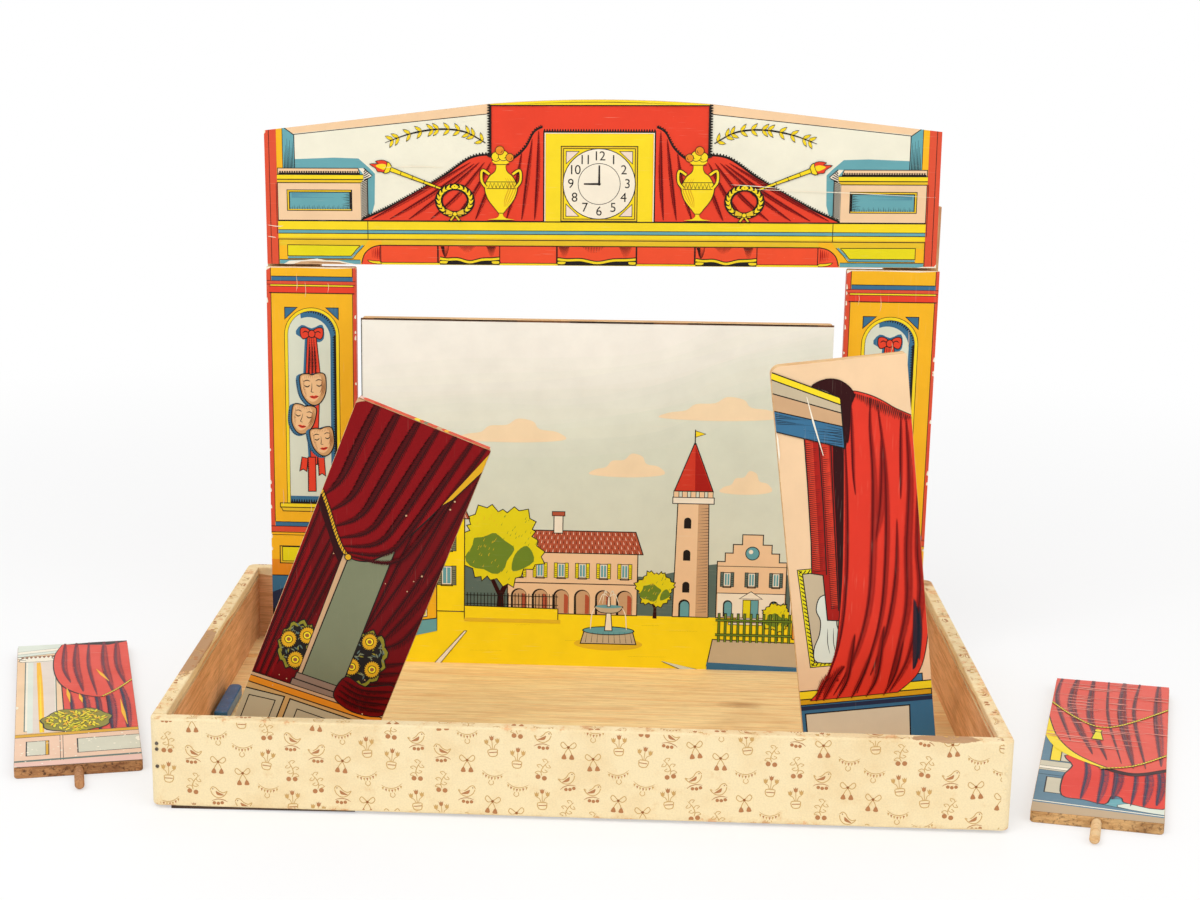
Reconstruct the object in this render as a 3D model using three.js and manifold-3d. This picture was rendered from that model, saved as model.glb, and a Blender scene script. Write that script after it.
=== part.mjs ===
// A toy puppet theatre: a shallow wooden tray that is both its storage box and its stage, with the
// printed wooden boards of the proscenium and scenery standing in it, and two spare wings beside it.
// Millimetres, +Z up. +X is the audience's right, and the audience sits on the -Y side.
// The origin is the middle of the underside of the tray.
import * as THREE from "three";
import { mergeVertices } from "three/addons/utils/BufferGeometryUtils.js";
import Module from "manifold-3d";

const wasm = await Module();
wasm.setup();

// Tray
const trayWidth = 560;
const trayDepth = 360;
const wallHeight = 61;
const wallThickness = 9.5;
const wallCornerRadius = 6.5;
const wallEdgeRound = 1.2;
const bottomThickness = 6;
const bottomStandOut = 2;
const lidGrooveWidth = 3;
const lidGrooveDepth = 3;
const lidGrooveBelowTop = 6;
const sceneGrooveDepth = 3;

// Nails of the tray's corners
const nailShankDiameter = 1.6;
const nailHeadDiameter = 3.4;
const nailHeadThickness = 0.6;
const nailLength = 26;
const nailHeightShares = [0.454, 0.65, 0.716];

// Printed boards
const boardThickness = 8;
const boardEdgeRound = 0.7;
const boardCornerRadius = 3;

// Proscenium
const prosceniumLeftGap = 14;
const prosceniumRightGap = 1.5;
const pilasterWidth = 71;
const leftPilasterHeight = 312;
const rightPilasterHeight = 316;
const battenWidth = 42;
const battenThickness = 7.6;
const battenStandOut = 48.5;
const pedimentShortfall = 4.5;
const pedimentOffset = -0.95;
const pedimentEndHeight = 104.3;
const pedimentBreakHeight = 124.7;
const pedimentCrownHeight = 128;
const pedimentBreakOffset = 84;
const pedimentCornerRadius = 4;
const pedimentLift = 2;
const keeperCheek = 8;
const keeperBack = 4.4;
const keeperStop = 8;
const keeperInset = 6;
const keeperSideClearance = 1;

// Backdrop
const backdropWidth = 360.5;
const backdropHeight = 280;
const backdropShift = 4.7;
const backdropGap = 38.1;

// Wings, each with a dowel peg in its lower edge
const leftWingWidth = 94.4;
const leftWingHeight = 243.6;
const leftWingFromWall = 78;
const leftWingSetBack = 60;
const leftWingPegStandOut = 17.5;
const rightWingWidth = 90;
const rightWingHeight = 282.5;
const rightWingFromWall = 68.5;
const rightWingSetBack = 91;
const rightWingPegStandOut = 5.4;
const rightWingCornerRadius = 6.5;
const pegDiameter = 6.6;
const pegSeatDepth = 14;
const pegTipRound = 1.1;

// Spare wings, lying face up on the ground beside the tray. Turns and skews are in degrees: their
// hand-sawn ends aren't quite square with their sides.
const spareLeftWidth = 87;
const spareLeftLength = 264;
const spareLeftFromTray = 99.5;
const spareLeftY = -1.5;
const spareLeftTurnAngle = 16.2;
const spareLeftSkewAngle = -1.8;
const spareRightWidth = 83.5;
const spareRightLength = 272;
const spareRightFromTray = 94;
const spareRightY = -35.5;
const spareRightTurnAngle = -15.4;
const spareRightSkewAngle = 5;
const sparePegStandOut = 28;

// Loose piece in the tray
const loosePieceWidth = 10;
const loosePieceLength = 60;
const loosePieceGap = 3;
const loosePieceY = -6;

// Clearances and fineness
const fitClearance = 0.3;
const cutOverrun = 1;
const pegSides = 16;
const nailSides = 8;
const arcSteps = 5;
const crownSteps = 8;

const wallTop = bottomStandOut + wallHeight;
const innerWidth = trayWidth - 2 * wallThickness;
const innerDepth = trayDepth - 2 * wallThickness;
const prosceniumWidth = innerWidth - prosceniumLeftGap - prosceniumRightGap;
const prosceniumShift = (prosceniumLeftGap - prosceniumRightGap) / 2;
const pedimentWidth = prosceniumWidth - pedimentShortfall;
const floorTop = bottomThickness;
const grooveFloor = floorTop - sceneGrooveDepth;
const degree = Math.PI / 180;

const materials = {
  bareWood: () => new THREE.MeshStandardMaterial({ color: 0xc8935a, roughness: 0.75, metalness: 0 }),
  paleWood: () => new THREE.MeshStandardMaterial({ color: 0xdcb982, roughness: 0.75, metalness: 0 }),
  paperedWood: () => new THREE.MeshStandardMaterial({ color: 0xf3e1b4, roughness: 0.8, metalness: 0 }),
  printedGold: () => new THREE.MeshStandardMaterial({ color: 0xf6b51f, roughness: 0.5, metalness: 0 }),
  printedRed: () => new THREE.MeshStandardMaterial({ color: 0xd8321f, roughness: 0.5, metalness: 0 }),
  printedSky: () => new THREE.MeshStandardMaterial({ color: 0xdcdcc0, roughness: 0.5, metalness: 0 }),
  printedPeach: () => new THREE.MeshStandardMaterial({ color: 0xf4c39c, roughness: 0.5, metalness: 0 }),
  printedBlue: () => new THREE.MeshStandardMaterial({ color: 0x4f8fae, roughness: 0.5, metalness: 0 }),
  nailSteel: () => new THREE.MeshStandardMaterial({ color: 0x6b6258, roughness: 0.5, metalness: 0.8 }),
};

// Solid operations

function toManifold(geometry) {
  const bare = geometry.clone();
  bare.deleteAttribute("normal");
  bare.deleteAttribute("uv");
  const merged = mergeVertices(bare);
  return new wasm.Manifold(
    new wasm.Mesh({
      numProp: 3,
      vertProperties: new Float32Array(merged.attributes.position.array),
      triVerts: new Uint32Array(merged.index.array),
    }),
  );
}

function toGeometry(manifold) {
  const mesh = manifold.getMesh();
  const geometry = new THREE.BufferGeometry();
  geometry.setAttribute("position", new THREE.BufferAttribute(new Float32Array(mesh.vertProperties), 3));
  geometry.setIndex(new THREE.BufferAttribute(new Uint32Array(mesh.triVerts), 1));
  geometry.computeVertexNormals();
  return geometry;
}

function cut(geometry, cutters) {
  let solid = toManifold(geometry);
  for (const cutter of cutters) {
    solid = solid.subtract(toManifold(cutter));
  }
  return toGeometry(solid);
}

function placed(geometry, x, y, z) {
  return geometry.clone().translate(x, y, z);
}

// Outlines

// A rectangle standing on its lower edge's middle, with one radius for each corner:
// lower left, lower right, upper right, upper left.
function standingOutline(width, height, radii) {
  const [lowerLeft, lowerRight, upperRight, upperLeft] = radii;
  const right = width / 2;
  const shape = new THREE.Shape();
  shape.moveTo(-right + lowerLeft, 0);
  shape.lineTo(right - lowerRight, 0);
  shape.absarc(right - lowerRight, lowerRight, lowerRight, -Math.PI / 2, 0, false);
  shape.lineTo(right, height - upperRight);
  shape.absarc(right - upperRight, height - upperRight, upperRight, 0, Math.PI / 2, false);
  shape.lineTo(-right + upperLeft, height);
  shape.absarc(-right + upperLeft, height - upperLeft, upperLeft, Math.PI / 2, Math.PI, false);
  shape.lineTo(-right, lowerLeft);
  shape.absarc(-right + lowerLeft, lowerLeft, lowerLeft, Math.PI, 1.5 * Math.PI, false);
  return shape;
}

// The crown of the pediment is one shallow arc between the two breaks of its top edge.
function pedimentOutline() {
  const half = pedimentWidth / 2;
  const radius = pedimentCornerRadius;
  const rise = pedimentCrownHeight - pedimentBreakHeight;
  const crownRadius = (pedimentBreakOffset ** 2 + rise ** 2) / (2 * rise);
  const crownHalfAngle = Math.asin(pedimentBreakOffset / crownRadius);
  const crownCentre = pedimentCrownHeight - crownRadius;
  const shape = new THREE.Shape();
  shape.moveTo(-half + radius, 0);
  shape.lineTo(half - radius, 0);
  shape.absarc(half - radius, radius, radius, -Math.PI / 2, 0, false);
  shape.lineTo(half, pedimentEndHeight - radius);
  shape.absarc(half - radius, pedimentEndHeight - radius, radius, 0, Math.PI / 2, false);
  for (let step = 0; step <= crownSteps; step += 1) {
    const angle = crownHalfAngle * (1 - (2 * step) / crownSteps);
    shape.lineTo(crownRadius * Math.sin(angle), crownCentre + crownRadius * Math.cos(angle));
  }
  shape.lineTo(-half + radius, pedimentEndHeight);
  shape.absarc(-half + radius, pedimentEndHeight - radius, radius, Math.PI / 2, Math.PI, false);
  shape.lineTo(-half, radius);
  shape.absarc(-half + radius, radius, radius, Math.PI, 1.5 * Math.PI, false);
  return shape;
}

// A board cut from an outline, standing with its front face on y = 0 and its back face behind it.
function boardGeometry(outline, thickness, edgeRound) {
  const geometry = new THREE.ExtrudeGeometry(outline, {
    depth: thickness - 2 * edgeRound,
    bevelEnabled: true,
    bevelThickness: edgeRound,
    bevelSize: edgeRound,
    bevelOffset: -edgeRound,
    bevelSegments: 1,
    curveSegments: arcSteps,
  });
  geometry.rotateX(Math.PI / 2);
  geometry.translate(0, thickness - edgeRound, 0);
  return geometry;
}

function evenRadii(radius) {
  return [radius, radius, radius, radius];
}

// A plain block with its low corner at (x, y, z).
function block(width, depth, height, x, y, z) {
  const geometry = new THREE.BoxGeometry(width, depth, height);
  geometry.translate(x + width / 2, y + depth / 2, z + height / 2);
  return geometry;
}

function pin(radius, length, sides) {
  return new THREE.CylinderGeometry(radius, radius, length, sides);
}

// Meshes

function mesh(name, geometry, material) {
  const item = new THREE.Mesh(geometry, material);
  item.name = name;
  return item;
}

// Tray bottom: one board with two grooves across it, which hold the backdrop and the proscenium
// upright. The rear groove is open to the back wall, so that the battens stand against that wall.
function trayBottom() {
  const front = -innerDepth / 2;
  const back = innerDepth / 2;
  const grooveFront = backdropFront() - fitClearance;
  const backdropGroove = [grooveFront, grooveFront + boardThickness + 2 * fitClearance];
  const prosceniumGroove = prosceniumFront() - 2 * fitClearance;
  const profile = new THREE.Shape();
  profile.moveTo(front, 0);
  profile.lineTo(back, 0);
  profile.lineTo(back, grooveFloor);
  profile.lineTo(prosceniumGroove, grooveFloor);
  profile.lineTo(prosceniumGroove, floorTop);
  profile.lineTo(backdropGroove[1], floorTop);
  profile.lineTo(backdropGroove[1], grooveFloor);
  profile.lineTo(backdropGroove[0], grooveFloor);
  profile.lineTo(backdropGroove[0], floorTop);
  profile.lineTo(front, floorTop);
  profile.closePath();
  const geometry = new THREE.ExtrudeGeometry(profile, { depth: innerWidth, bevelEnabled: false });
  // The profile's x becomes the tray's depth, its y the height and its extrusion the width.
  geometry.rotateX(Math.PI / 2);
  geometry.rotateZ(Math.PI / 2);
  geometry.translate(-innerWidth / 2, 0, 0);
  return mesh("tray_bottom", geometry, materials.paleWood());
}

function nailHeights() {
  return nailHeightShares.map((share) => bottomStandOut + share * wallHeight);
}

function nailCutters(side, yOutside, inward) {
  const radius = nailShankDiameter / 2 + fitClearance;
  const length = nailLength + fitClearance + cutOverrun;
  const middle = yOutside + inward * (length / 2 - cutOverrun);
  const bore = pin(radius, length, nailSides);
  return nailHeights().map((height) => placed(bore, side * nailX(), middle, height));
}

function nailX() {
  return trayWidth / 2 - wallThickness / 2;
}

// Front and back walls run the full width, with rounded outer corners, and cover the side walls' ends.
function endWall(name, outward) {
  const half = trayWidth / 2;
  const outside = trayDepth / 2;
  const inside = outside - wallThickness;
  const radius = wallCornerRadius;
  const plan = new THREE.Shape();
  plan.moveTo(-half, inside);
  plan.lineTo(half, inside);
  plan.lineTo(half, outside - radius);
  plan.absarc(half - radius, outside - radius, radius, 0, Math.PI / 2, false);
  plan.lineTo(-half + radius, outside);
  plan.absarc(-half + radius, outside - radius, radius, Math.PI / 2, Math.PI, false);
  plan.closePath();
  const geometry = new THREE.ExtrudeGeometry(plan, {
    depth: wallHeight - 2 * wallEdgeRound,
    bevelEnabled: true,
    bevelThickness: wallEdgeRound,
    bevelSize: wallEdgeRound,
    bevelOffset: -wallEdgeRound,
    bevelSegments: 2,
    curveSegments: arcSteps,
  });
  geometry.translate(0, 0, bottomStandOut + wallEdgeRound);
  if (outward < 0) {
    geometry.rotateZ(Math.PI);
  }
  const cutters = [-1, 1].flatMap((side) => nailCutters(side, outward * outside, -outward));
  return mesh(name, cut(geometry, cutters), materials.paperedWood());
}

// Side walls carry a groove for a sliding lid below their inner top edge.
function sideWall(name, side) {
  const inside = -wallThickness / 2;
  const outside = wallThickness / 2;
  const grooveTop = wallHeight - lidGrooveBelowTop;
  const grooveBottom = grooveTop - lidGrooveWidth;
  const round = wallEdgeRound;
  const profile = new THREE.Shape();
  profile.moveTo(inside, 0);
  profile.lineTo(outside, 0);
  profile.lineTo(outside, wallHeight - round);
  profile.absarc(outside - round, wallHeight - round, round, 0, Math.PI / 2, false);
  profile.lineTo(inside + round, wallHeight);
  profile.absarc(inside + round, wallHeight - round, round, Math.PI / 2, Math.PI, false);
  profile.lineTo(inside, grooveTop);
  profile.lineTo(inside + lidGrooveDepth, grooveTop);
  profile.lineTo(inside + lidGrooveDepth, grooveBottom);
  profile.lineTo(inside, grooveBottom);
  profile.closePath();
  const geometry = new THREE.ExtrudeGeometry(profile, {
    depth: innerDepth,
    bevelEnabled: false,
    curveSegments: arcSteps,
  });
  geometry.rotateX(Math.PI / 2);
  geometry.translate(0, innerDepth / 2, 0);
  if (side < 0) {
    geometry.rotateZ(Math.PI);
  }
  geometry.translate(side * (trayWidth / 2 - wallThickness / 2), 0, bottomStandOut);
  const cutters = [-1, 1].flatMap((end) => nailCutters(side, (end * trayDepth) / 2, -end));
  return mesh(name, cut(geometry, cutters), materials.paperedWood());
}

// A nail along Y with its head outside the wall and its shank inward.
function nail(name, side, outward, height) {
  const shank = nailShankDiameter / 2;
  const head = nailHeadDiameter / 2;
  const profile = [
    new THREE.Vector2(0, -nailLength),
    new THREE.Vector2(shank, -nailLength + nailShankDiameter),
    new THREE.Vector2(shank, 0),
    new THREE.Vector2(head, 0),
    new THREE.Vector2(head, nailHeadThickness),
    new THREE.Vector2(0, nailHeadThickness),
  ];
  const geometry = new THREE.LatheGeometry(profile, nailSides);
  if (outward < 0) {
    geometry.rotateX(Math.PI);
  }
  geometry.translate(side * nailX(), (outward * trayDepth) / 2, height);
  return mesh(name, geometry, materials.nailSteel());
}

function cornerNails() {
  const nails = [];
  for (const [endName, outward] of [["front", -1], ["back", 1]]) {
    for (const [sideName, side] of [["left", -1], ["right", 1]]) {
      nailHeights().forEach((height, index) => {
        nails.push(nail(`nail_${endName}_${sideName}_${index + 1}`, side, outward, height));
      });
    }
  }
  return nails;
}

// Proscenium: two pilasters, each with a batten glued to its back that stands out above it.
function prosceniumFront() {
  return innerDepth / 2 - fitClearance - battenThickness - boardThickness;
}

function pilaster(name, side, height) {
  const outline = standingOutline(pilasterWidth, height, evenRadii(boardEdgeRound * 2));
  const geometry = boardGeometry(outline, boardThickness, boardEdgeRound);
  const x = prosceniumShift + side * (prosceniumWidth / 2 - pilasterWidth / 2);
  geometry.translate(x, prosceniumFront(), grooveFloor);
  return mesh(name, geometry, materials.printedGold());
}

function batten(name, side, pilasterHeight) {
  const height = pilasterHeight + battenStandOut;
  const outer = prosceniumShift + side * (prosceniumWidth / 2);
  const low = side < 0 ? outer : outer - battenWidth;
  const back = prosceniumFront() + boardThickness;
  const geometry = block(battenWidth, battenThickness, height, low, back, grooveFloor);
  return mesh(name, geometry, materials.bareWood());
}

// Pediment: a board with a keeper on each end of its back. The keeper's stop rests on the batten's
// upper end, and its cheek and back hold the batten, so the board lifts straight off.
// The battens end at different heights, and the whole pediment leans with them.
function pedimentGroup() {
  const group = new THREE.Group();
  const battenMiddle = prosceniumWidth / 2 - battenWidth / 2;
  const rise = rightPilasterHeight - leftPilasterHeight;
  const lean = Math.atan2(rise, 2 * battenMiddle);
  const middleHeight = (leftPilasterHeight + rightPilasterHeight) / 2;
  group.rotation.y = -lean;
  const height = grooveFloor + middleHeight + pedimentLift;
  group.position.set(prosceniumShift, prosceniumFront() - fitClearance, height);
  const board = boardGeometry(pedimentOutline(), boardThickness, boardEdgeRound);
  board.translate(pedimentOffset, 0, 0);
  group.add(mesh("pediment_board", board, materials.printedRed()));
  group.add(keeper("pediment_keeper_left", -1));
  group.add(keeper("pediment_keeper_right", 1));
  return group;
}

function keeper(name, side) {
  const pocketHeight = battenStandOut - pedimentLift + fitClearance;
  const pocketDepth = battenThickness + 2 * fitClearance + fitClearance;
  const boardEnd = pedimentWidth / 2 + side * pedimentOffset - keeperInset;
  const battenInner = prosceniumWidth / 2 - battenWidth;
  const pocketInner = battenInner - keeperSideClearance;
  const inner = pocketInner - keeperCheek;
  const width = boardEnd - inner;
  const depth = pocketDepth + keeperBack;
  const height = pocketHeight + keeperStop - keeperInset;
  const low = side < 0 ? -boardEnd : inner;
  const body = block(width, depth, height, low, boardThickness, keeperInset);
  const pocketWidth = boardEnd - pocketInner + cutOverrun;
  const pocketLow = side < 0 ? -boardEnd - cutOverrun : pocketInner;
  const pocketBottom = keeperInset - cutOverrun;
  const pocket = block(
    pocketWidth,
    pocketDepth + cutOverrun,
    pocketHeight - pocketBottom,
    pocketLow,
    boardThickness - cutOverrun,
    pocketBottom,
  );
  return mesh(name, cut(body, [pocket]), materials.bareWood());
}

// The backdrop's groove lies a named gap in front of the proscenium.
function backdropFront() {
  return prosceniumFront() - backdropGap - boardThickness;
}

function backdrop() {
  const outline = standingOutline(backdropWidth, backdropHeight, evenRadii(boardCornerRadius));
  const geometry = boardGeometry(outline, boardThickness, boardEdgeRound);
  geometry.translate(backdropShift, backdropFront(), grooveFloor);
  return mesh("backdrop_board", geometry, materials.printedSky());
}

// A wing: a board with a blind hole in its lower edge, and a dowel peg seated in the hole.
function wingParts(name, width, height, radii, pegStandOut, material) {
  const seatRadius = pegDiameter / 2 + fitClearance;
  const seatLength = pegSeatDepth + fitClearance + cutOverrun;
  const seat = pin(seatRadius, seatLength, pegSides);
  seat.rotateX(Math.PI / 2);
  seat.translate(0, boardThickness / 2, seatLength / 2 - cutOverrun);
  const outline = standingOutline(width, height, radii);
  const board = cut(boardGeometry(outline, boardThickness, boardEdgeRound), [seat]);
  const peg = pegGeometry(pegStandOut);
  return [mesh(`${name}_board`, board, material), mesh(`${name}_peg`, peg, materials.paleWood())];
}

function pegGeometry(standOut) {
  const radius = pegDiameter / 2;
  const profile = [
    new THREE.Vector2(0, -standOut),
    new THREE.Vector2(radius - pegTipRound, -standOut),
    new THREE.Vector2(radius, -standOut + pegTipRound),
    new THREE.Vector2(radius, pegSeatDepth),
    new THREE.Vector2(0, pegSeatDepth),
  ];
  const geometry = new THREE.LatheGeometry(profile, pegSides);
  geometry.rotateX(Math.PI / 2);
  geometry.translate(0, boardThickness / 2, 0);
  return geometry;
}

// A wing out of its socket stands on one lower corner and the tip of its peg, which sets its lean.
// The lean is positive for a wing whose top goes to the right.
function leaningWing(parts, width, pegStandOut, footX, setBack, direction) {
  const reach = width / 2 - pegDiameter / 2 + pegTipRound;
  const lean = Math.atan2(pegStandOut, reach);
  const group = new THREE.Group();
  group.rotation.y = direction * lean;
  const footHeight = floorTop + fitClearance + (Math.sin(lean) * width) / 2;
  group.position.set(footX, setBack - trayDepth / 2, footHeight);
  group.add(...parts);
  return group;
}

// A wing lying face up, turned about the vertical. The skew slants its ends, and the peg's end too.
function lyingWing(parts, length, x, y, turn, skew) {
  const slope = Math.tan(skew * degree);
  const slant = new THREE.Matrix4().makeShear(0, slope, 0, 0, 0, 0);
  parts.forEach((part) => part.geometry.applyMatrix4(slant));
  const laid = new THREE.Group();
  laid.rotation.x = -Math.PI / 2;
  laid.position.set(0, -length / 2, boardThickness);
  laid.add(...parts);
  const group = new THREE.Group();
  group.rotation.z = turn * degree;
  group.position.set(x, y, 0);
  group.add(laid);
  return group;
}

// A small painted piece with a rounded far end, lying loose on the tray's floor.
function loosePiece() {
  const end = loosePieceWidth / 2 - boardEdgeRound;
  const near = boardEdgeRound * 2;
  const outline = standingOutline(loosePieceWidth, loosePieceLength, [near, near, end, end]);
  const geometry = boardGeometry(outline, boardThickness, boardEdgeRound);
  geometry.rotateX(-Math.PI / 2);
  const x = loosePieceGap + loosePieceWidth / 2 - innerWidth / 2;
  geometry.translate(x, loosePieceY - loosePieceLength / 2, floorTop + boardThickness);
  return mesh("loose_painted_piece", geometry, materials.printedBlue());
}

function proscenium() {
  return [
    pilaster("pilaster_left", -1, leftPilasterHeight),
    pilaster("pilaster_right", 1, rightPilasterHeight),
    batten("batten_left", -1, leftPilasterHeight),
    batten("batten_right", 1, rightPilasterHeight),
    pedimentGroup(),
  ];
}

function leftWing() {
  const width = leftWingWidth;
  const standOut = leftWingPegStandOut;
  const radii = evenRadii(boardCornerRadius);
  const parts = wingParts("wing_left", width, leftWingHeight, radii, standOut, materials.printedRed());
  const footX = leftWingFromWall - innerWidth / 2;
  return leaningWing(parts, width, standOut, footX, leftWingSetBack, 1);
}

function rightWing() {
  const width = rightWingWidth;
  const standOut = rightWingPegStandOut;
  const radii = [boardCornerRadius, boardCornerRadius, boardCornerRadius, rightWingCornerRadius];
  const parts = wingParts("wing_right", width, rightWingHeight, radii, standOut, materials.printedPeach());
  const footX = innerWidth / 2 - rightWingFromWall;
  return leaningWing(parts, width, standOut, footX, rightWingSetBack, -1);
}

function spareWing(name, width, length) {
  const radii = evenRadii(boardCornerRadius);
  return wingParts(name, width, length, radii, sparePegStandOut, materials.printedRed());
}

function leftSpareWing() {
  const parts = spareWing("spare_wing_left", spareLeftWidth, spareLeftLength);
  const x = -trayWidth / 2 - spareLeftFromTray;
  return lyingWing(parts, spareLeftLength, x, spareLeftY, spareLeftTurnAngle, spareLeftSkewAngle);
}

function rightSpareWing() {
  const parts = spareWing("spare_wing_right", spareRightWidth, spareRightLength);
  const x = trayWidth / 2 + spareRightFromTray;
  return lyingWing(parts, spareRightLength, x, spareRightY, spareRightTurnAngle, spareRightSkewAngle);
}

function theatre() {
  const group = new THREE.Group();
  group.add(trayBottom());
  group.add(endWall("tray_front_wall", -1), endWall("tray_back_wall", 1));
  group.add(sideWall("tray_left_wall", -1), sideWall("tray_right_wall", 1));
  group.add(...cornerNails());
  group.add(...proscenium());
  group.add(backdrop());
  group.add(leftWing(), rightWing());
  group.add(leftSpareWing(), rightSpareWing());
  group.add(loosePiece());
  return group;
}

export default theatre();
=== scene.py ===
"""Looks of a toy puppet theatre: papered tray, printed boards, light and camera.

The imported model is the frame. Every piece made here is in metres, in the same frame,
and rides on a body of it. Prints are flat inks laid one over another, each a few
hundredths of a millimetre above the last.
"""
from __future__ import annotations

import logging
import math
import random
from collections.abc import Iterable, Sequence
from dataclasses import dataclass, field
from enum import Enum

import bpy
from mathutils import Matrix, Vector

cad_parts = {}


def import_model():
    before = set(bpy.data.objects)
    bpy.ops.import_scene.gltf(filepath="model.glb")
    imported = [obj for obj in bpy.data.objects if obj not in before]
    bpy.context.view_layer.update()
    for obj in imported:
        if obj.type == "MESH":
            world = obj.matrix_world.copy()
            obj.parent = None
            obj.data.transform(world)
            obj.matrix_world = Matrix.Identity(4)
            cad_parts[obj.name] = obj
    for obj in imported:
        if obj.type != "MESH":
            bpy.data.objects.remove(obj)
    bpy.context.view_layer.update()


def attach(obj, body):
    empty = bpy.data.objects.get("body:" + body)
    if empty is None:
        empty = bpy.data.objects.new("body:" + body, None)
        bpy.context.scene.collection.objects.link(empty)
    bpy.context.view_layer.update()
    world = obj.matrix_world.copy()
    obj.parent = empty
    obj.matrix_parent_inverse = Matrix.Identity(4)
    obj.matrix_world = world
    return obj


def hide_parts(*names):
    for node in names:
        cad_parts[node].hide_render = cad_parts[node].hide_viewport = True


LOG = logging.getLogger("theatre")
MM = 0.001
INK_GAP = 0.05  # Millimetres from a board's face to its first ink.
Point = tuple[float, float]
Outline = list[Point]


# Small tools


def linear(hex_colour: str) -> tuple[float, float, float, float]:
    """Turns an sRGB hex colour into Blender's linear values.

    Args:
        hex_colour: Six hex digits after a hash.

    Returns:
        Red, green, blue and alpha.
    """
    values = [int(hex_colour[i:i + 2], 16) / 255 for i in (1, 3, 5)]
    curve = [v / 12.92 if v <= 0.04045 else ((v + 0.055) / 1.055) ** 2.4 for v in values]
    return (curve[0], curve[1], curve[2], 1.0)


def node(tree: bpy.types.NodeTree, kind: str, links: dict | None = None, **settings) -> bpy.types.Node:
    """Adds a node, sets it up and wires it.

    Args:
        tree: The tree that takes the node.
        kind: The node's type name, without the ShaderNode in front.
        links: Input name or number to the socket or value that feeds it.
        settings: Attributes of the node.

    Returns:
        The new node.
    """
    item = tree.nodes.new(f"ShaderNode{kind}")
    for name, value in settings.items():
        setattr(item, name, value)
    for name, source in (links or {}).items():
        if isinstance(source, bpy.types.NodeSocket):
            tree.links.new(source, item.inputs[name])
        else:
            item.inputs[name].default_value = source
    return item


def blank_material(name: str) -> tuple[bpy.types.Material, bpy.types.NodeTree]:
    """Makes an empty node material.

    Args:
        name: The finish's name.

    Returns:
        The material and its node tree.
    """
    material = bpy.data.materials.new(name)
    material.use_nodes = True
    material.node_tree.nodes.clear()
    return material, material.node_tree


def select_only(*objects: bpy.types.Object) -> None:
    """Selects these objects alone, the first of them active.

    Args:
        objects: What is selected. The first becomes active.
    """
    bpy.ops.object.select_all(action="DESELECT")
    for item in objects:
        item.select_set(True)
    bpy.context.view_layer.objects.active = objects[0]


def settle(item: bpy.types.Object) -> bpy.types.Object:
    """Applies an object's place, so that it ends at the origin.

    Args:
        item: The finished object.

    Returns:
        The same object.
    """
    select_only(item)
    bpy.ops.object.transform_apply(location=True, rotation=True, scale=True)
    return item


def dress(material: bpy.types.Material, *names: str) -> None:
    """Gives solids of the frame their finish.

    Args:
        material: The finish.
        names: The solids' names.
    """
    for name in names:
        solid = bpy.data.objects[name]
        if not solid.material_slots:
            solid.data.materials.append(material)
        for slot in solid.material_slots:
            slot.link = "OBJECT"
            slot.material = material
        LOG.info("dressed %s in %s", name, material.name)


def own(item: bpy.types.Object, body: str, slot: str, *replaced: str) -> None:
    """Lets a finished piece ride on its body, and hides the solids that it stands for.

    Args:
        item: The piece.
        body: The body that it rides on.
        slot: Its material slot; not used.
        replaced: The solids that it stands for.
    """
    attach(item, body)
    if replaced:
        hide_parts(*replaced)
    LOG.info("made %s, %d faces, on %s", item.name, len(item.data.polygons), body)


# Finishes


class Grain(Enum):
    """The direction that a board's fibres run in."""

    ACROSS = (0.05, 1.0, 1.0)
    DEEP = (1.0, 0.05, 1.0)
    UPRIGHT = (1.0, 1.0, 0.05)


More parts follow.
